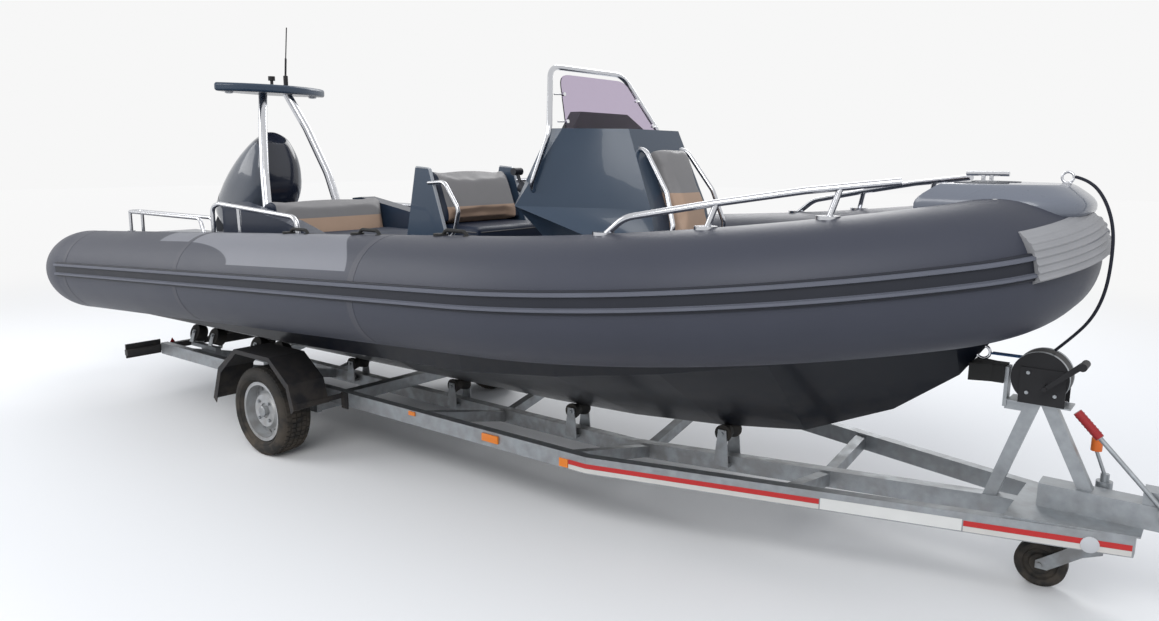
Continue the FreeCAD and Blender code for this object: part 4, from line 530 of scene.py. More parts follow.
def evened(mesh, moves, times):
    """Each point's value averaged with its neighbours', again and again, which takes creases out."""
    near = [[] for _ in moves]
    for edge in mesh.edges:
        a, b = edge.vertices
        near[a].append(b)
        near[b].append(a)
    for _ in range(times):
        moves = [sum((moves[n] for n in group), move.copy()) / (len(group) + 1) for move, group in zip(moves, near)]
    return moves


def shrunk(name, faces, shrink):
    """An object from a shell's faces, drawn in on all sides, and the shell's own limits."""
    shape = bmesh.new()
    for points in faces:
        shape.faces.new([shape.verts.new(point) for point in points])
    bmesh.ops.remove_doubles(shape, verts=shape.verts, dist=0.00001)
    bmesh.ops.recalc_face_normals(shape, faces=shape.faces)
    low, high = limits([vert.co for vert in shape.verts])
    middle, half = (low + high) / 2, (high - low) / 2
    for vert in shape.verts:
        for i in range(3):
            vert.co[i] = middle[i] + (vert.co[i] - middle[i]) * (half[i] - shrink) / half[i]
    mesh = bpy.data.meshes.new(name)
    shape.to_mesh(mesh)
    shape.free()
    return added(name, mesh), low, high


def settle(thing):
    """Applies an object's modifiers to its mesh."""
    view = bpy.context.evaluated_depsgraph_get()
    view.update()
    mesh = bpy.data.meshes.new_from_object(thing.evaluated_get(view))
    thing.modifiers.clear()
    thing.data = mesh


def remeshed(thing, voxel):
    """Turns an object's mesh into even squares."""
    remesh = thing.modifiers.new("remesh", "REMESH")
    remesh.mode = "VOXEL"
    remesh.voxel_size = voxel
    settle(thing)


def blown_up(thing):
    """Lets air pressure fill an object's skin for a few frames."""
    cloth = thing.modifiers.new("cloth", "CLOTH")
    cloth.settings.use_pressure = True
    cloth.settings.uniform_pressure_force = PRESSURE
    cloth.settings.effector_weights.gravity = 0.0
    cloth.settings.quality = 4
    for number in range(1, CLOTH_FRAMES + 1):
        bpy.context.scene.frame_set(number)
    settle(thing)
    bpy.context.scene.frame_set(1)


def pad(name, faces, material, shrink, voxel, free, node, arch):
    """A stuffed pad from a shell; free gives how far it may stand out past its solid, low and high, per axis.

    The arch is how much lower the top is at its two sides than in the middle.
    """
    made, low, high = shrunk(name, faces, shrink)
    middle, half = (low + high) / 2, (high - low) / 2
    remeshed(made, voxel)
    start = evened(made.data, [vert.co.copy() for vert in made.data.vertices], EVEN_START)
    for vert, place_of in zip(made.data.vertices, start):
        place_of.z -= arch * ((place_of.y - middle.y) / half.y) ** 2 * max(0.0, (place_of.z - low.z) / half.z / 2)
        vert.co = place_of
    blown_up(made)
    floor = [low[i] - free[i][0] for i in range(3)]
    roof = [high[i] + free[i][1] for i in range(3)]
    moves = evened(made.data, [vert.co - home for vert, home in zip(made.data.vertices, start)], EVEN_MOVES)
    for vert, home, move in zip(made.data.vertices, start, moves):
        vert.co = home + (move.normalized() * PAD_CAP if move.length > PAD_CAP else move)
        for i in range(3):
            vert.co[i] = min(max(vert.co[i], floor[i]), roof[i])
    for face in made.data.polygons:
        face.use_smooth = True
    smooth = made.modifiers.new("smooth", "SUBSURF")
    smooth.levels = smooth.render_levels = 1
    made.data.materials.append(material)
    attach(made, body_of(node))
    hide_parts(node)
    return made


def body_of(node):
    """The body that a node belongs to."""
    for body, names in frame["record"]["behaviour"]["bodies"].items():
        if node in names:
            return body
    return ROOT


def two_tone(name, split_z, stripe_y):
    """Grey vinyl over tan vinyl, with a navy band at each side."""
    return finish(name, GREY_VINYL, 0.52, fine=420.0, change=0.06, bump=0.0006,
                  over=((TAN_VINYL, below(split_z)), (NAVY_VINYL, outside(stripe_y))))


print("a pad may grow by", PAD_CAP, "m")

# %% [markdown]
# Two backrests and the bench's are grey vinyl over tan, with a navy band at each side, and the cushions are navy.
# Each pad names its solid, the room that it may take past it, low and high on each axis, and its arch.

# %% Blow up the seat pads
navy_vinyl = finish("navy vinyl", NAVY_VINYL, 0.5, fine=420.0, change=0.06, bump=0.0006)
helm_back, helm_seat = shells(nodes["helm_seat_pads"])
console_back, console_base = shells(nodes["console_seat"])
bench_back, bench_seat = shells(nodes["bench_back"])[0], shells(nodes["bench_cushion"])[0]
PADS = (
    ("helm_back_pad", helm_back, two_tone("helm back vinyl", 1.455, 0.285), 0.010, 0.010,
     ((0, 0.010), (0, 0), (0, 0.012)), "helm_seat_pads", 0.030),
    ("helm_seat_pad", helm_seat, navy_vinyl, 0.010, 0.012,
     ((0, 0.012), (0, 0), (0, 0)), "helm_seat_pads", 0.0),
    ("console_back_pad", console_back, two_tone("console back vinyl", 1.575, 0.300), 0.006, 0.010,
     ((0, 0.012), (0, 0), (0, 0.008)), "console_seat", 0.018),
    ("console_seat_pad", console_base, navy_vinyl, 0.010, 0.012,
     ((0, 0.012), (0.005, 0.005), (0, 0)), "console_seat", 0.0),
    ("bench_back_pad", bench_back, two_tone("bench back vinyl", 1.315, 0.430), 0.010, 0.012,
     ((0.010, 0.010), (0, 0), (0, 0.012)), "bench_back", 0.025),
    ("bench_seat_pad", bench_seat, navy_vinyl, 0.010, 0.013,
     ((0, 0.010), (0, 0), (0, 0.012)), "bench_cushion", 0.0),
)
pads, pad_node = {}, {}
for name, faces, material, shrink, voxel, free, node, arch in PADS:
    pads[name] = pad(name, faces, material, shrink, voxel, free, node, arch)
    pad_node[name] = node
    print(name, len(pads[name].data.vertices), "points")

# %% [markdown]
# Vinyl covers are sewn from panels, and a cord of piping hides each seam. A curve with a shrinkwrap could lie on
# the pad, but rays are simpler to steer: a ring of them is shot at the pad from outside, level by level, and a thin
# bar is swept through the places that they hit, so the piping follows the stuffed shape.

# %% Piping on the pads
PIPING_RAYS = 72


def surface_of(thing):
    """A search tree over an object's finished surface."""
    view = bpy.context.evaluated_depsgraph_get()
    view.update()
    return BVHTree.FromObject(thing, view)


def piping(name, thing, height, radius=0.0035):
    """Piping round a pad at one height."""
    tree = surface_of(thing)
    low, high = limits([thing.matrix_world @ Vector(corner) for corner in thing.bound_box])
    middle, half = (low + high) / 2, (high - low) / 2
    ring = []
    for k in range(PIPING_RAYS):
        turn = math.tau * k / PIPING_RAYS
        way = Vector((math.cos(turn), math.sin(turn), 0))
        reach = 0.1 + min(half[i] / max(abs(way[i]), 1e-6) for i in (0, 1))
        hit, normal, _, _ = tree.ray_cast(Vector((middle.x, middle.y, height)) + way * reach, -way, reach)
        if hit is not None:
            ring.append(hit + normal * radius * 0.3)
    shape = bmesh.new()
    swept(shape, ring, circle(radius, 6), closed=True)
    return piece(name, shape, piping_vinyl, body=body_of(pad_node[thing.name]))


piping_vinyl = finish("piping vinyl", (0.10, 0.10, 0.105), 0.5)
SEAMS = (
    ("helm_seat_pad", 1.325), ("helm_seat_pad", 1.245),
    ("bench_seat_pad", 1.195), ("bench_seat_pad", 1.140),
    ("console_seat_pad", 1.275), ("console_seat_pad", 1.210),
)
for number, (name, height) in enumerate(SEAMS):
    piping("%s_piping_%d" % (name, number), pads[name], height)
print("piping laid:", len(SEAMS))

# %% [markdown]
# The two tubes lie in one plane that leans up towards the bow, and meet there in two curves: a long one, then a
# short one. Whatever is laid on them, a strake, a tape or a patch, is easiest to place by the angle that the bow has
# turned and the angle round the tube, so those two become a place in space here.

# %% Places on the tubes
LONG_TURN, LONG_R, SHORT_R = math.radians(38.0), 2.9, 0.503
TUBE_R = 0.270
TUBE_HALF_BEAM, TUBE_Z = 1000.0, 1034.0


def collar_centre(turn):
    """Middle of the starboard tube where the bow has turned by an angle."""
    ahead, inward = LONG_R * math.sin(min(turn, LONG_TURN)), LONG_R * (1 - math.cos(min(turn, LONG_TURN)))
    if turn > LONG_TURN:
        ahead += SHORT_R * (math.sin(turn) - math.sin(LONG_TURN))
        inward += SHORT_R * (math.cos(LONG_TURN) - math.cos(turn))
    return BOW_START + ALONG * ahead + INWARD * inward


def round_tube(turn, lift, radius):
    """A place on the tube's skin: the bow's turn, the angle up from the lean plane, and the distance out."""
    out = ALONG * math.sin(turn) - INWARD * math.cos(turn)
    return collar_centre(turn) + (out * math.cos(lift) + UPWARD * math.sin(lift)) * radius


def tube_place(x, angle, radius, side=-1):
    """A place round the straight part of a tube; the angle is up from its outer side, in radians."""
    centre = at(x, side * TUBE_HALF_BEAM, TUBE_Z + SHEER_SLOPE * x)
    return centre + Vector((0, side * math.cos(angle), math.sin(angle))) * radius


def mirrored(point):
    """The same place on the other side of the boat."""
    return Vector((point.x, -point.y, point.z))


print("bow tip of the tubes", round_tube(math.pi / 2, 0.0, TUBE_R))

# %% [markdown]
# A ribbed rubber patch guards the nose where the tubes join. Displacing a smooth sheet would blur its ribs, so the
# ribs are in the profile itself, and the profile is carried round the bow and mirrored. In between its thin edges
# it stands out far enough to cover the strake.

# %% Nose patch
def patch_radius(lift):
    """Thin at its edges, out over the strake in between, with small ribs; the lift is in degrees."""
    rise = max(0.0, min(1.0, (lift - 1.0) / 2.5, (42.0 - lift) / 15.0))
    rib = 0.005 * max(0.0, math.sin(math.radians((lift - 3.0) * 72.0))) if 3.0 < lift < 40.0 else 0.0
    return TUBE_R + 0.002 + 0.028 * rise + rib * rise


PATCH_START = 54            # the bow has turned this many degrees where the patch begins
PATCH_LOW, PATCH_STEP, PATCH_ROWS = 1, 0.625, 66        # in degrees up from the lean plane
SUNK = 0.004                # a skin's inner face lies this far inside the tube
patch_rubber = finish("nose patch rubber", (0.30, 0.30, 0.31), 0.5, fine=500.0, change=0.1)
shape = bmesh.new()
lifts = [PATCH_LOW + PATCH_STEP * n for n in range(PATCH_ROWS)]
profile = [(lift, patch_radius(lift)) for lift in lifts]
profile = [(lifts[0], TUBE_R - SUNK)] + profile + [(lifts[-1], TUBE_R - SUNK)]
turns = [PATCH_START + 2 * k for k in range((90 - PATCH_START) // 2 + 1)]
rings = [[round_tube(math.radians(turn), math.radians(lift), radius) for lift, radius in profile] for turn in turns]
skinned(shape, rings + [[mirrored(point) for point in ring] for ring in reversed(rings)])
piece("nose_patch", shape, patch_rubber)
print("nose patch made")

# %% [markdown]
# Each tube is glued up from lengths of fabric, and a tape covers each seam. Valves sit on the inner side, one to
# each air chamber. A tape is a thin band, so it is a flat section carried round the tube by its angle.

# %% Tube tapes and valves
TAPE_WIDE, TAPE_THICK = 42, 0.0012
TAPE_X, VALVE_X = (-1880, -420, 1180), (-1300, 300, 1700)
VALVE_ANGLE = math.radians(128)


def tape(shape, x, side):
    """A thin band round a tube, from under its outer side to past its top."""
    edges = (x - TAPE_WIDE / 2, TUBE_R + TAPE_THICK), (x + TAPE_WIDE / 2, TUBE_R + TAPE_THICK)
    edges += (x + TAPE_WIDE / 2, TUBE_R - SUNK), (x - TAPE_WIDE / 2, TUBE_R - SUNK)
    skinned(shape, [[tube_place(place_x, math.radians(angle), radius, side) for place_x, radius in edges]
                    for angle in range(-60, 126, 5)])


tape_fabric = finish("seam tape", (0.068, 0.070, 0.086), 0.5, fine=900.0)
valve_plastic = finish("valve plastic", (0.02, 0.02, 0.022), 0.45)
for side, tag in SIDES:
    shape = bmesh.new()
    for x in TAPE_X:
        tape(shape, x, side)
    piece("seam_tapes_" + tag, shape, tape_fabric)
    shape = bmesh.new()
    for x in VALVE_X:
        foot = tube_place(x, VALVE_ANGLE, TUBE_R - SUNK, side)
        way = (tube_place(x, VALVE_ANGLE, TUBE_R, side) - foot).normalized()
        spun(shape, [(0.0, 0.0), (0.034, 0.0), (0.032, 0.010), (0.024, 0.013), (0.022, 0.009), (0.0, 0.009)],
             foot, way, steps=24)
    piece("valves_" + tag, shape, valve_plastic)
print("tapes and valves on both tubes")

# %% [markdown]
# The cap at the bow is one smooth moulding, and so is the engine's cowl. A subdivision modifier would round them,
# but it also pulls them in. Cutting each corner again and again rounds a line and keeps its long sides where they
# are. It is done round each level of the solid's own outline, and then from level to level.

# %% Rounding by cutting corners
def rounded(points, times=3, closed=True):
    """Cuts every corner of a line of points, again and again."""
    for _ in range(times):
        cut = []
        pairs = list(zip(points, points[1:] + points[:1])) if closed else list(zip(points, points[1:]))
        for one, two in pairs:
            cut += [one * 0.78 + two * 0.22, one * 0.22 + two * 0.78]
        points = cut if closed else [points[0]] + cut + [points[-1]]
    return points


def rounded_levels(levels, across=3, up=2):
    """Rounds each ring, then rounds from ring to ring."""
    rings = [rounded(list(ring), across) for ring in levels]
    columns = [rounded([ring[k] for ring in rings], up, closed=False) for k in range(len(rings[0]))]
    return [[column[n] for column in columns] for n in range(len(columns[0]))]


square = [Vector((0, 0, 0)), Vector((1, 0, 0)), Vector((1, 1, 0)), Vector((0, 1, 0))]
print("a square with its corners cut three times has", len(rounded(square)), "points")

# %% [markdown]
# The bow step widens from its foot, rises straight, and draws in to a flat top. It could be sculpted from a block,
# but six rings of points from the solid's own sections are enough for a smooth skin, and they keep it to the
# solid's size. It takes the place of its solid.

# %% Bow step moulding
def both_sides(*half):
    """An outline from its starboard half, aft to fore, and the mirror image of that half."""
    return half + tuple((x, -y) for x, y in reversed(half))


STEP_BASE = both_sides((3420, -350), (3428, -344), (3740, -300), (3900, -240), (3985, -130))
STEP_LOW = both_sides((3420, -350), (3428, -343), (3740, -290), (3830, -220), (3872, -120))
STEP_TOP = both_sides((3490, -280), (3500, -276), (3730, -235), (3850, -180), (3905, -95))
STEP_MIDDLE_X = 3680
shape = bmesh.new()
levels = [[at(x, y, z) for x, y in ring] for ring, z in (
    (STEP_LOW, 1470), (STEP_LOW, 1490), (STEP_BASE, 1550), (STEP_BASE, 1602), (STEP_TOP, 1660), (STEP_TOP, 1660))]
levels[-1] = [at(x + (STEP_MIDDLE_X - x) * 0.12, y * 0.88, 1660) for x, y in STEP_TOP]
skinned(shape, rounded_levels(levels))
# The step's pale blue-grey is partly its own gel coat and partly a painted reflection of the sky, which lightens the
# colour.
step_paint_with_sky_reflection = finish("step gel coat", (0.15, 0.165, 0.20), 0.28, coat=0.5, scale=4.0, change=0.06)
step = piece("bow_step_moulding", shape, step_paint_with_sky_reflection, sharp=60)
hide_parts("bow_step")
print("bow step has", len(step.data.polygons), "faces")

# %% [markdown]
# People step off the boat over the bow, so the step has two tread pads, and mooring lines run through a chrome
# fairlead in each side. A pad is a rounded outline with a little height, and a fairlead is a spun ring.

# %% Bow step trim
tread_pad = finish("step tread", (0.10, 0.105, 0.115), 0.8, fine=140.0, bump=0.002)
chrome = finish("chrome", (0.75, 0.76, 0.78), 0.08, metallic=1.0, change=0.02, rough_change=0.05)
shape = bmesh.new()
for y0, y1 in ((-215, -40), (40, 215)):
    corners = (3515, y0), (3515, y1), (3700, y1 * 0.86), (3700, y0 * 0.86)
    ring = rounded([Vector((x, y, 0)) for x, y in corners], 3)
    skinned(shape, [[at(p.x, p.y, z) for p in ring] for z in (1656, 1662.5)])
piece("step_tread_pads", shape, tread_pad)
shape = bmesh.new()
for side in (-1, 1):
    way = Vector((0.42, side * 0.9, 0.12)).normalized()
    foot = at(3700, side * 297, 1575)
    spun(shape, [(0.010, -0.004), (0.030, -0.004), (0.033, 0.006), (0.027, 0.011), (0.016, 0.007), (0.010, -0.004)],
         foot, way, steps=28)
piece("step_fairleads", shape, chrome)
print("step trim made")

# %% [markdown]
# The engine's cowl is a smooth shell with dark panels in front and paler flanks. It is easiest to draw upright, as
# it stands in use, and then to tip with the engine, so each section is written upright and turned about the tilt
# pin. Its corners are cut as the bow step's were, and a dark seam runs round it where its top lifts off.

# %% Engine cowl
TILT_PIN = at(-1700, 0, 1050)
PARKED_TILT = math.radians(45)
TIP = Matrix.Translation(TILT_PIN) @ Matrix.Rotation(PARKED_TILT, 4, "Y") @ Matrix.Translation(-TILT_PIN)
COWL_LEVELS = ((52, -385, -60, 150), (120, -400, 40, 200), (400, -410, 110, 228), (620, -390, 90, 222),
               (780, -360, -40, 190), (880, -330, -190, 105))


def cowl_ring(z, aft, fore, half, grow=0.0):
    """One section of the cowl, tipped with the engine."""
    fore, aft, half = fore + grow, aft - grow, half + grow
    outline = both_sides((fore, -0.6 * half), (fore - 0.35 * half, -half), (aft + 0.55 * half, -half),
                         (aft, -0.4 * half))
    return [TIP @ at(-1700 + x, y, 1050 + z) for x, y in outline]


FLANK_Y = 0.1375
cowl_paint = finish("cowl panels", (0.016, 0.020, 0.034), 0.2, coat=0.7, change=0.05,
                    over=(((0.070, 0.082, 0.105), outside(FLANK_Y, edge=0.0015)),))
shape = bmesh.new()
levels = [cowl_ring(*COWL_LEVELS[0])] + [cowl_ring(*level) for level in COWL_LEVELS]
levels.append([point.lerp(sum(levels[-1], Vector()) / 8, 0.55) for point in levels[-1]])
skinned(shape, rounded_levels(levels, across=3, up=3))
cowl = piece("engine_cowl_shell", shape, cowl_paint, body="engine_power", sharp=60)
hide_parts("engine_cowl")
SEAM = ((216, -403, 64, 209, -4.0), (218, -403, 64, 209, 1.0), (226, -404, 67, 210, 1.0), (228, -404, 67, 210, -4.0))
shape = bmesh.new()
skinned(shape, [rounded(cowl_ring(*level), 3) for level in SEAM])
piece("engine_cowl_seam", shape, FINISHES["black_plastic"], body="engine_power")
print("cowl has", len(cowl.data.polygons), "faces")

# %% [markdown]
# A road tyre has plain walls and a tread of blocks between grooves. A bump could draw the blocks, but the outline
# of a wheel shows them, so they are real: a profile is spun for the body, and five rows of low slabs stand on it.
# The profile keeps to the solid's own width and height, and all of it rides on the wheel, so that it turns.

# %% Tyres with tread
HUB_HEIGHT, WHEEL_Y = 262.5, 945
TYRE_PROFILE = ((0.1655, -0.0665), (0.1795, -0.0665), (0.184, -0.078), (0.200, -0.0935), (0.214, -0.0973),
                (0.228, -0.0962), (0.240, -0.0925), (0.249, -0.086), (0.2548, -0.0765), (0.2562, -0.060),
                (0.2565, 0.0))
BLOCKS = 54
BLOCK_ROWS = ((-0.066, 0.020, 0.2568), (-0.033, 0.024, 0.2585), (0.0, 0.026, 0.2585), (0.033, 0.024, 0.2585),
              (0.066, 0.020, 0.2568))     # each row's place across, width and radius
WALL_RINGS = ((0.196, 0.0925), (0.214, 0.0968))
tyre_rubber = finish("tyre tread rubber", (0.024, 0.023, 0.022), 0.78, fine=600.0, dirt=0.5, dirt_top=0.6)


def dressed_tyre(side, tag):
    """A tyre with its tread, in the place of the solid one."""
    hub = at(0, side * WHEEL_Y, HUB_HEIGHT)
    shape = bmesh.new()
    profile = list(TYRE_PROFILE) + [(r, -along) for r, along in reversed(TYRE_PROFILE[:-1])]
    profile.append(profile[0])
    spun(shape, profile, hub, Vector((0, 1, 0)), steps=72)
    for row, wide, radius in BLOCK_ROWS:
        shift = 0.5 if abs(row) > 0.04 else 0.0
        for k in range(BLOCKS):
            matrix = Matrix.Rotation(math.tau * (k + shift) / BLOCKS, 3, "Y")
            centre = hub + matrix @ Vector((0, 0, radius)) + Vector((0, row, 0))
            slab(shape, centre, (math.tau * radius / BLOCKS * 0.80, wide, 0.0076), turn=matrix)
    for edge in (-1, 1):
        for radius, out in WALL_RINGS:
            ring = [hub + Vector((a, edge * out, b)) for a, b in circle(radius, 48)]
            swept(shape, ring, circle(0.0016, 4), up=Vector((0, 1, 0)), closed=True)
    made = piece("tyre_dressed_" + tag, shape, tyre_rubber, body="wheel_" + tag)
    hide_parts("tyre_" + tag)
    return made


for side, tag in SIDES:
    made = dressed_tyre(side, tag)
print("each tyre has", len(made.data.polygons), "faces")

# %% [markdown]
# Four nuts and a grease cap show on the outer face of each rim. Threads and chamfers wouldn't show at this size, so
# a nut is a cone with six sides and the cap a spun profile.

# %% Wheel trim
NUTS, NUT_CIRCLE = 4, 0.070


def wheel_trim(side, tag):
    """Nuts and cap, riding on their wheel."""
    hub = at(0, side * WHEEL_Y, HUB_HEIGHT)
    out = Vector((0, side, 0))
    shape = bmesh.new()
    for k in range(NUTS):
        turn = math.tau * (k + 0.5) / NUTS
        foot = hub + Vector((NUT_CIRCLE * math.cos(turn), side * 0.048, NUT_CIRCLE * math.sin(turn)))
        rod(shape, foot, foot + out * 0.016, 0.0105, 0.0092, steps=6)
    spun(shape, [(0.0, -0.002), (0.031, -0.002), (0.031, 0.004), (0.025, 0.009), (0.0, 0.011)],
         hub + out * 0.066, out, steps=24)
    piece("wheel_trim_" + tag, shape, FINISHES["galvanised"], body="wheel_" + tag)


for side, tag in SIDES:
    wheel_trim(side, tag)
print("wheel nuts and caps made")

# %% [markdown]
# The trailer's long rails carry red and white reflective tape, a blank white panel, lamps and round reflectors.
# Colouring parts of the rail's own faces would need new edges in it. Thin strips laid on the rails' outer faces
# are simpler and catch the light at their edges, as tape does. The rails run straight and then bend in towards the
# coupling, so the strips are placed by a rule that knows the bend.

# %% Paints, and places on the rails
def paint(name, colour, roughness=0.35):
    return finish(name, colour, roughness, coat=0.3, change=0.08, fine=900.0, bump=0.0001)


tape_red = paint("red tape", (0.50, 0.022, 0.022))
tape_white = paint("white tape", (0.62, 0.60, 0.57))
panel_white = paint("white panel", (0.72, 0.72, 0.70))
amber_lens = paint("amber lens", (0.80, 0.22, 0.02), 0.15)
red_lens = paint("red lens", (0.42, 0.010, 0.012), 0.15)
clear_lens = paint("clear lens", (0.55, 0.56, 0.58), 0.1)
BEND_X, BEND_SLOPE = 2150.0, 0.2786     # past the bend the rails run in to the drawbar


def rail_face(x, z, side, proud=0.0):
    """A place on a rail's outer face, in front of or behind the bend."""
    past = max(0.0, x - BEND_X)
    y = 700 - BEND_SLOPE * past + (26.0 if past else 25.0)
    return at(x, side * (y + proud), z)


def strip(shape, x0, x1, z0, z1, side, thick=1.2):
    """A thin strip on a rail's outer face, bent where the rail bends."""
    section = (-0.5, z0), (thick, z0), (thick, z1), (-0.5, z1)
    stops = [x0] + ([BEND_X] if x0 < BEND_X < x1 else []) + [x1]
    skinned(shape, [[rail_face(x, z, side, out) for out, z in section] for x in stops])


print("the rail's outer face at the bend", rail_face(BEND_X, 332, -1))

# %% Tape, panel, lamps and reflectors
STRIPS = (("rail_tape_red_", tape_red, 331, 353, 1.2, ((2052, 3160), (3692, 4244))),
          ("rail_tape_white_", tape_white, 309, 330, 1.2, ((2052, 3160), (3692, 4244))),
          ("rail_panel_", panel_white, 310, 358, 2.0, ((3165, 3687),)))
for side, tag in SIDES:
    for name, material, z0, z1, thick, runs in STRIPS:
        shape = bmesh.new()
        for x0, x1 in runs:
            strip(shape, x0, x1, z0, z1, side, thick)
        piece(name + tag, shape, material)
    shape = bmesh.new()
    strip(shape, 2000, 2050, 312, 352, side, thick=6.0)
    strip(shape, 950, 1000, 358, 380, side, thick=6.0)
    slab(shape, at(1556, side * 731, 352), (0.110, 0.012, 0.040), bevel=0.003)
    piece("side_lamps_" + tag, shape, amber_lens)
    shape = bmesh.new()
    face = rail_face(4112, 332, side, 1.0)
    out = Vector((BEND_SLOPE, side, 0)).normalized()
    spun(shape, [(0.0, -0.001), (0.032, -0.001), (0.032, 0.004), (0.028, 0.006), (0.0, 0.006)], face, out, steps=24)
    piece("front_reflector_" + tag, shape, clear_lens)
print("rails taped")

# %% [markdown]
# The light board's lamps get red, amber and clear lenses, with the warning triangles beside them, and the number
# plate is left blank. Each is a block or a flat prism standing just off the board, which is enough at this size:
# what tells a lamp from afar is its colour and its gloss.

# %% Rear lamps
BOARD_BACK = -1786.5
REAR_LAMPS = ("stop", 905, 70, red_lens), ("turn", 830, 70, amber_lens), ("reverse", 755, 60, clear_lens)
for side, tag in SIDES:
    for name, y, wide, material in REAR_LAMPS:
        shape = bmesh.new()
        slab(shape, at(BOARD_BACK, side * y, 350), (0.008, wide / 1000, 0.080), bevel=0.003)
        piece("lamp_%s_%s" % (name, tag), shape, material)
shape = bmesh.new()
for side in (-1, 1):
    corners = circle(52, 3)
    skinned(shape, [[at(x, side * 610 + b, 345 + a) for a, b in corners] for x in (-1774.5, -1780)])
piece("triangles", shape, red_lens)
shape = bmesh.new()
slab(shape, at(-1781, 0, 345), (0.003, 0.50, 0.10), bevel=0.001)
piece("plate", shape, tape_white)
print("rear lamps made")

# %% [markdown]
# The winch has a steel band round each edge of its black case, and bolt heads on its cheeks. The jockey wheel's
# crank has an orange knob, and the handbrake a red grip with ridges. These small bright parts stand out in the
# photograph. All of them are round, so they are spun rings and rods, each a little wider than the solid it covers.

# %% Winch bands, knob and grip
BRAKE_PIVOT, BRAKE_TIP = (4330.0, -62.0, 470.0), (4010.0, -62.0, 800.0)
BOLTS = (-40, -60), (60, -60), (-40, 20), (70, 10)
WINCH = at(3868, 0, 908)
shape = bmesh.new()
for y in (-46, 46):
    spun(shape, [(0.1035, -0.009), (0.1052, -0.009), (0.1052, 0.009), (0.1035, 0.009), (0.1035, -0.009)],
         WINCH + Vector((0, y / 1000, 0)), Vector((0, 1, 0)), steps=48)
for y in (-64.5, 64.5):
    for x, z in BOLTS:
        foot = WINCH + Vector((x / 1000, y / 1000, z / 1000))
        rod(shape, foot, foot + Vector((0, math.copysign(0.007, y), 0)), 0.0075, steps=6)
piece("winch_bands", shape, FINISHES["galvanised"])
shape = bmesh.new()
rod(shape, at(4070, 95, 618), at(4070, 95, 669.5), 0.0208, steps=24)
piece("jockey_knob", shape, paint("orange plastic", (0.75, 0.16, 0.02), 0.45))
shape = bmesh.new()
pivot, tip = at(*BRAKE_PIVOT), at(*BRAKE_TIP)
along = (tip - pivot).normalized()
rod(shape, tip - along * 0.118, tip + along * 0.001, 0.0168, steps=24)
for k in range(7):
    ring_at = tip - along * (0.014 + 0.015 * k)
    rod(shape, ring_at - along * 0.002, ring_at + along * 0.002, 0.0182, steps=24)
piece("handbrake_grip", shape, paint("red grip", (0.32, 0.014, 0.018), 0.5))
print("winch, knob and grip dressed")

# %% [markdown]
# The windscreen's solid has square corners. The real sheet is cut round at its top. A bevel on the solid's corners
# would do as well, but the solids stay as they are, so a new sheet on the same plane takes its place. Four small
# clamps hold it to its frame.

# %% Windscreen
SHEET_THICK, SHEET_CORNER = 0.006, 0.075
GLASS = ((1775, -412, 1881), (1775, 412, 1881), (1632, 288, 2150), (1632, -288, 2150))
foot_left, foot_right, head_right, head_left = (at(*corner) for corner in GLASS)


def turned_corner(before, corner, after, radius, steps=6):
    """A corner of a sheet replaced by a short curve."""
    start = corner + (before - corner).normalized() * radius
    end = corner + (after - corner).normalized() * radius
    return [start.lerp(corner, k / steps).lerp(corner.lerp(end, k / steps), k / steps) for k in range(steps + 1)]


outline = [foot_left, foot_right]
outline += turned_corner(foot_right, head_right, head_left, SHEET_CORNER)
outline += turned_corner(head_right, head_left, foot_left, SHEET_CORNER)
shape = bmesh.new()
skinned(shape, [outline, [point + Vector((SHEET_THICK, 0, 0)) for point in outline]])
sheet = piece("windscreen_sheet", shape, tint)
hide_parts("windscreen")
shape = bmesh.new()
for side in (-1, 1):
    for share in (0.12, 0.62):
        inner = foot_right.lerp(head_right, share) if side > 0 else foot_left.lerp(head_left, share)
        rod(shape, inner + Vector((-0.004, -side * 0.016, 0)), inner + Vector((0.010, -side * 0.016, 0)), 0.010)
        rod(shape, inner + Vector((0.003, -side * 0.016, 0)), inner + Vector((-0.012, side * 0.040, -0.002)), 0.004)
piece("windscreen_clamps", shape, chrome)
print("windscreen made")

# %% [markdown]
# The dash doesn't show in the photograph, so it is fitted as such boats have it: a chart screen, two round gauges
# and six switches. Each is placed by its share of the way up the console's sloping face and its distance from the
# middle, which is easier to judge than a place in space, and each stands a little off the panel.

# %% Places on the dash
DASH_OUT = Vector((-0.8753, 0, 0.4837))
DASH_UP = Vector((0.4837, 0, 0.8753))
DASH_TURN = Matrix((DASH_UP, Vector((0, 1, 0)), -DASH_OUT)).transposed()


def on_dash(share, y, out=0.0):
    """A place on the dash, by its share of the way up, its side and how far it stands off."""
    return at(1470 + 210 * share, y, 1500 + 380 * share) + DASH_OUT * (0.006 + out)


SCREEN_SHARE, GAUGE_Y = 0.74, (-185, 185)
print("the chart screen's middle", on_dash(SCREEN_SHARE, 0))

# %% Instruments
black_glass = finish("screen glass", (0.008, 0.010, 0.014), 0.08, coat=0.8, change=0.02)
gauge_face = finish("gauge face", (0.50, 0.50, 0.49), 0.4, change=0.04)
shape = bmesh.new()
slab(shape, on_dash(SCREEN_SHARE, 0, 0.009), (0.150, 0.240, 0.022), turn=DASH_TURN, bevel=0.006)
for y in GAUGE_Y:
    spun(shape, [(0.0, 0.0), (0.047, 0.0), (0.047, 0.008), (0.040, 0.012), (0.038, 0.008), (0.0, 0.008)],
         on_dash(SCREEN_SHARE, y), DASH_OUT, steps=32)
for k in range(6):
    share, y = (0.44 if k % 2 else 0.36), (-230 if k < 3 else 185) + 22 * (k % 3)
    slab(shape, on_dash(share, y, 0.004), (0.026, 0.014, 0.010), turn=DASH_TURN, bevel=0.002)
piece("dash_instruments", shape, FINISHES["dash_black"])
shape = bmesh.new()
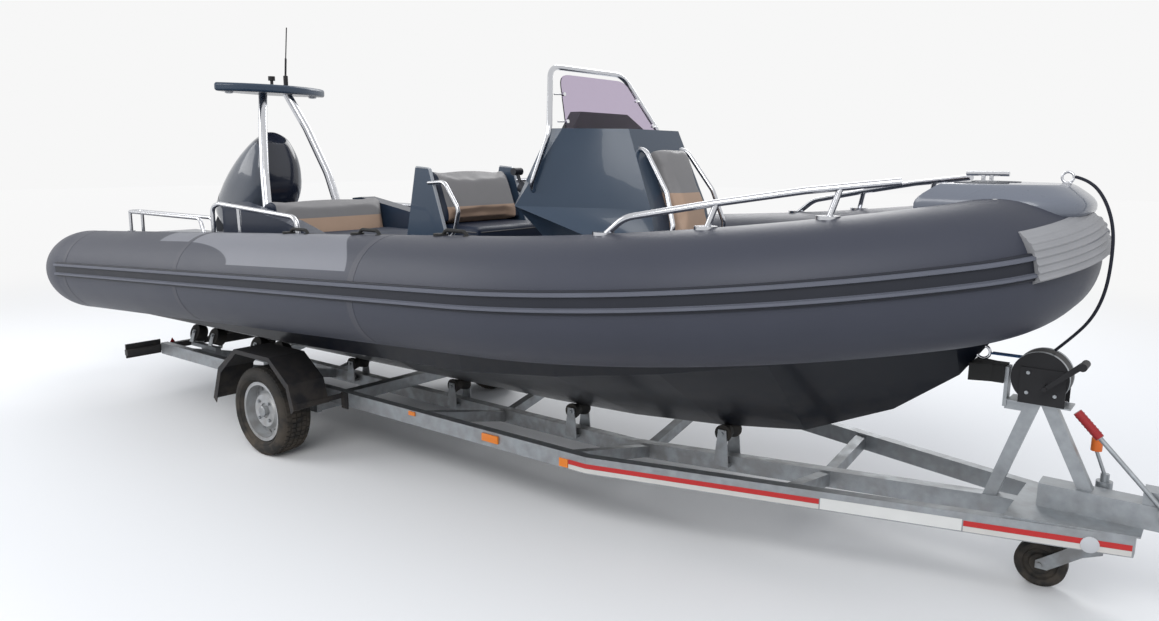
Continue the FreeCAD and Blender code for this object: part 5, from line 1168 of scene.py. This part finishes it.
slab(shape, on_dash(SCREEN_SHARE, 0, 0.0205), (0.118, 0.206, 0.002), turn=DASH_TURN)
piece("chart_screen", shape, black_glass)
shape = bmesh.new()
for y in GAUGE_Y:
    spun(shape, [(0.0, 0.0082), (0.037, 0.0082), (0.037, 0.0092), (0.0, 0.0092)],
         on_dash(SCREEN_SHARE, y), DASH_OUT, steps=32)
piece("gauge_faces", shape, gauge_face)
shape = bmesh.new()
for y in GAUGE_Y:
    for angle in (0.7, 2.3):
        way = DASH_UP * math.cos(angle) + Vector((0, 1, 0)) * math.sin(angle)
        middle = on_dash(SCREEN_SHARE, y, 0.0102)
        rod(shape, middle, middle + way * 0.028, 0.0012, steps=6)
piece("gauge_hands", shape, paint("gauge hands", (0.5, 0.03, 0.02), 0.5))
print("instruments made")

# %% [markdown]
# Pale edging strips finish the edges of the helm seat's side panels, where two mouldings meet. A small flat section
# is carried along a line of points up the edge and back over the top. The seat pod gets doors with rod handles in
# front and a round hatch catch on each side, so that it reads as a locker.

# %% Edging strips and hatches
edging = finish("edging strip", (0.30, 0.32, 0.35), 0.35, coat=0.3, change=0.05)
shape = bmesh.new()
for side in (-1, 1):
    route = [at(x, side * 351, z) for x, z in ((903, 1232), (828, 1447), (752, 1664), (742, 1672), (645, 1679))]
    swept(shape, route, [(-0.0095, -0.0025), (0.0095, -0.0025), (0.0095, 0.0035), (-0.0095, 0.0035)],
          up=Vector((0.94, 0, 0.34)))
piece("helm_side_edging", shape, edging)
shape = bmesh.new()
for y0, y1 in ((-345, -12), (12, 345)):
    slab(shape, at(518.5, (y0 + y1) / 2, 1030), (0.006, (y1 - y0) / 1000, 0.30), bevel=0.002)
    rod(shape, at(512, (y0 + y1) / 2 - 30, 1145), at(512, (y0 + y1) / 2 + 30, 1145), 0.006)
for side in (-1, 1):
    slab(shape, at(790, side * 361.5, 1060), (0.300, 0.004, 0.240), bevel=0.0015)
    spun(shape, [(0.0, 0.0), (0.016, 0.0), (0.014, 0.004), (0.0, 0.005)], at(900, side * 363, 1060),
         Vector((0, side, 0)), steps=20)
piece("helm_pod_hatches", shape, FINISHES["module_grey"])
print("edging and hatches made")

# %% [markdown]
# The deck carries drain covers, and two small lamps look down from the arch's wing. Both are round and low, so each
# is one short profile, spun about the line it faces along.

# %% Drains and arch lamps
shape = bmesh.new()
for x, y in ((-1250, -420), (-1250, 420), (1180, -430), (1180, 430)):
    spun(shape, [(0.0, 0.0), (0.040, 0.0), (0.037, 0.004), (0.012, 0.005), (0.0, 0.003)], at(x, y, 840),
         Vector((0, 0, 1)), steps=24)
piece("deck_drains", shape, chrome)
shape = bmesh.new()
for y in (-340, 340):
    spun(shape, [(0.0, -0.001), (0.030, -0.001), (0.028, 0.010), (0.016, 0.014), (0.0, 0.015)], at(-1265, y, 2165),
         Vector((0, 0, -1)), steps=24)
piece("arch_lamps", shape, clear_lens)
print("deck trim made")

# %% [markdown]
# The painter is a soft 12 mm line from the ring on the bow step, over the bow and down to the winch. A chain of
# rigid rods would kink at every joint, so it is one NURBS spline through the rope's route, bevelled to its size.

# %% Painter rope
ROPE_RADIUS = 0.006
ROPE_ROUTE = [(3910, 0, 1688), (3962, -22, 1676), (4022, -62, 1612), (4062, -92, 1510), (4068, -100, 1390),
              (4058, -86, 1270), (4022, -52, 1165), (3960, -12, 1080), (3902, 10, 1015.5)]


def soft_line(name, route, radius):
    """A round cord along a NURBS spline."""
    curve = bpy.data.curves.new(name, "CURVE")
    curve.dimensions = "3D"
    curve.bevel_depth = radius
    curve.bevel_resolution = 4
    curve.use_fill_caps = True
    spline = curve.splines.new("NURBS")
    spline.points.add(len(route) - 1)
    for point, spot_of in zip(spline.points, route):
        point.co = (*at(*spot_of), 1.0)
    spline.order_u = 3
    spline.use_endpoint_u = True
    spline.resolution_u = 12
    return added(name, curve)


rope = soft_line("painter", ROPE_ROUTE, ROPE_RADIUS)
rope.data.materials.append(FINISHES["rope_navy"])
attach(rope, ROOT)
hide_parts("painter_rope")
print("painter laid through", len(ROPE_ROUTE), "points")

# %% [markdown]
# A plain pale floor and three soft area lamps make the studio. More light would turn the backdrop white, but it
# would bleach the boat too. So the floor and the world are grey in what they give back, and almost white only to the
# camera, to mirrors and through the windscreen. Far from the boat the floor fades into the backdrop.

# %% Studio
def seen_directly(tree):
    """1 for what the camera sees, straight, mirrored or through glass."""
    path = tree.nodes.new("ShaderNodeLightPath")
    seen = maths(tree, "MAXIMUM", path.outputs["Is Camera Ray"], path.outputs["Is Glossy Ray"])
    return maths(tree, "MAXIMUM", seen, path.outputs["Is Transmission Ray"])


BLACK = (0.0, 0.0, 0.0, 1)
floor_shape = bmesh.new()
bmesh.ops.create_grid(floor_shape, x_segments=1, y_segments=1, size=40.0)
floor_mesh = bpy.data.meshes.new("floor")
floor_shape.to_mesh(floor_mesh)
floor_shape.free()
floor = added("floor", floor_mesh)
floor.location.z = -0.001
floor_paint = bpy.data.materials.new("floor paint")
floor_paint.use_nodes = True
tree = floor_paint.node_tree
shader = tree.nodes["Principled BSDF"]
across, along = spot(tree, "X"), spot(tree, "Y")
away = maths(tree, "SQRT", maths(tree, "ADD", maths(tree, "MULTIPLY", across, across),
                                 maths(tree, "MULTIPLY", along, along)))
far_off = maths(tree, "MULTIPLY", ramp(tree, away, 3.5, 11.0), seen_directly(tree))
near_floor = blend_colour(tree, seen_directly(tree), (0.62, 0.62, 0.62, 1), (0.90, 0.90, 0.90, 1))
tree.links.new(blend_colour(tree, far_off, near_floor, BLACK), shader.inputs["Base Color"])
tree.links.new(blend_colour(tree, far_off, BLACK, (0.91, 0.91, 0.91, 1)), shader.inputs["Emission Color"])
for socket, value in (("Roughness", 0.95), ("Specular IOR Level", 0.1), ("Emission Strength", 1.0)):
    shader.inputs[socket].default_value = value
floor.data.materials.append(floor_paint)

world = bpy.data.worlds.new("studio")
bpy.context.scene.world = world
world.use_nodes = True
tree = world.node_tree
sky = tree.nodes["Background"]
tree.links.new(blend_colour(tree, seen_directly(tree), (0.60, 0.63, 0.68, 1), (0.93, 0.93, 0.93, 1)),
               sky.inputs["Color"])
sky.inputs["Strength"].default_value = 1.0

LAMP_SIZE, LAMP_AIM = 5.0, Vector((0.0, 0.0, 0.9))
STUDIO_LAMPS = (
    ("key", (4.5, -7.0, 6.5), 420.0),
    ("fill", (-6.0, -5.0, 4.5), 240.0),
    ("back", (-2.0, 7.0, 6.0), 320.0),
)
for name, place_of, power in STUDIO_LAMPS:
    lamp = added(name, bpy.data.lights.new(name, "AREA"))
    lamp.data.size = LAMP_SIZE
    lamp.data.energy = power
    lamp.location = place_of
    lamp.rotation_euler = (LAMP_AIM - Vector(place_of)).to_track_quat("-Z", "Y").to_euler()

bpy.context.scene.view_settings.view_transform = "Standard"
print("studio lamps:", len(STUDIO_LAMPS))
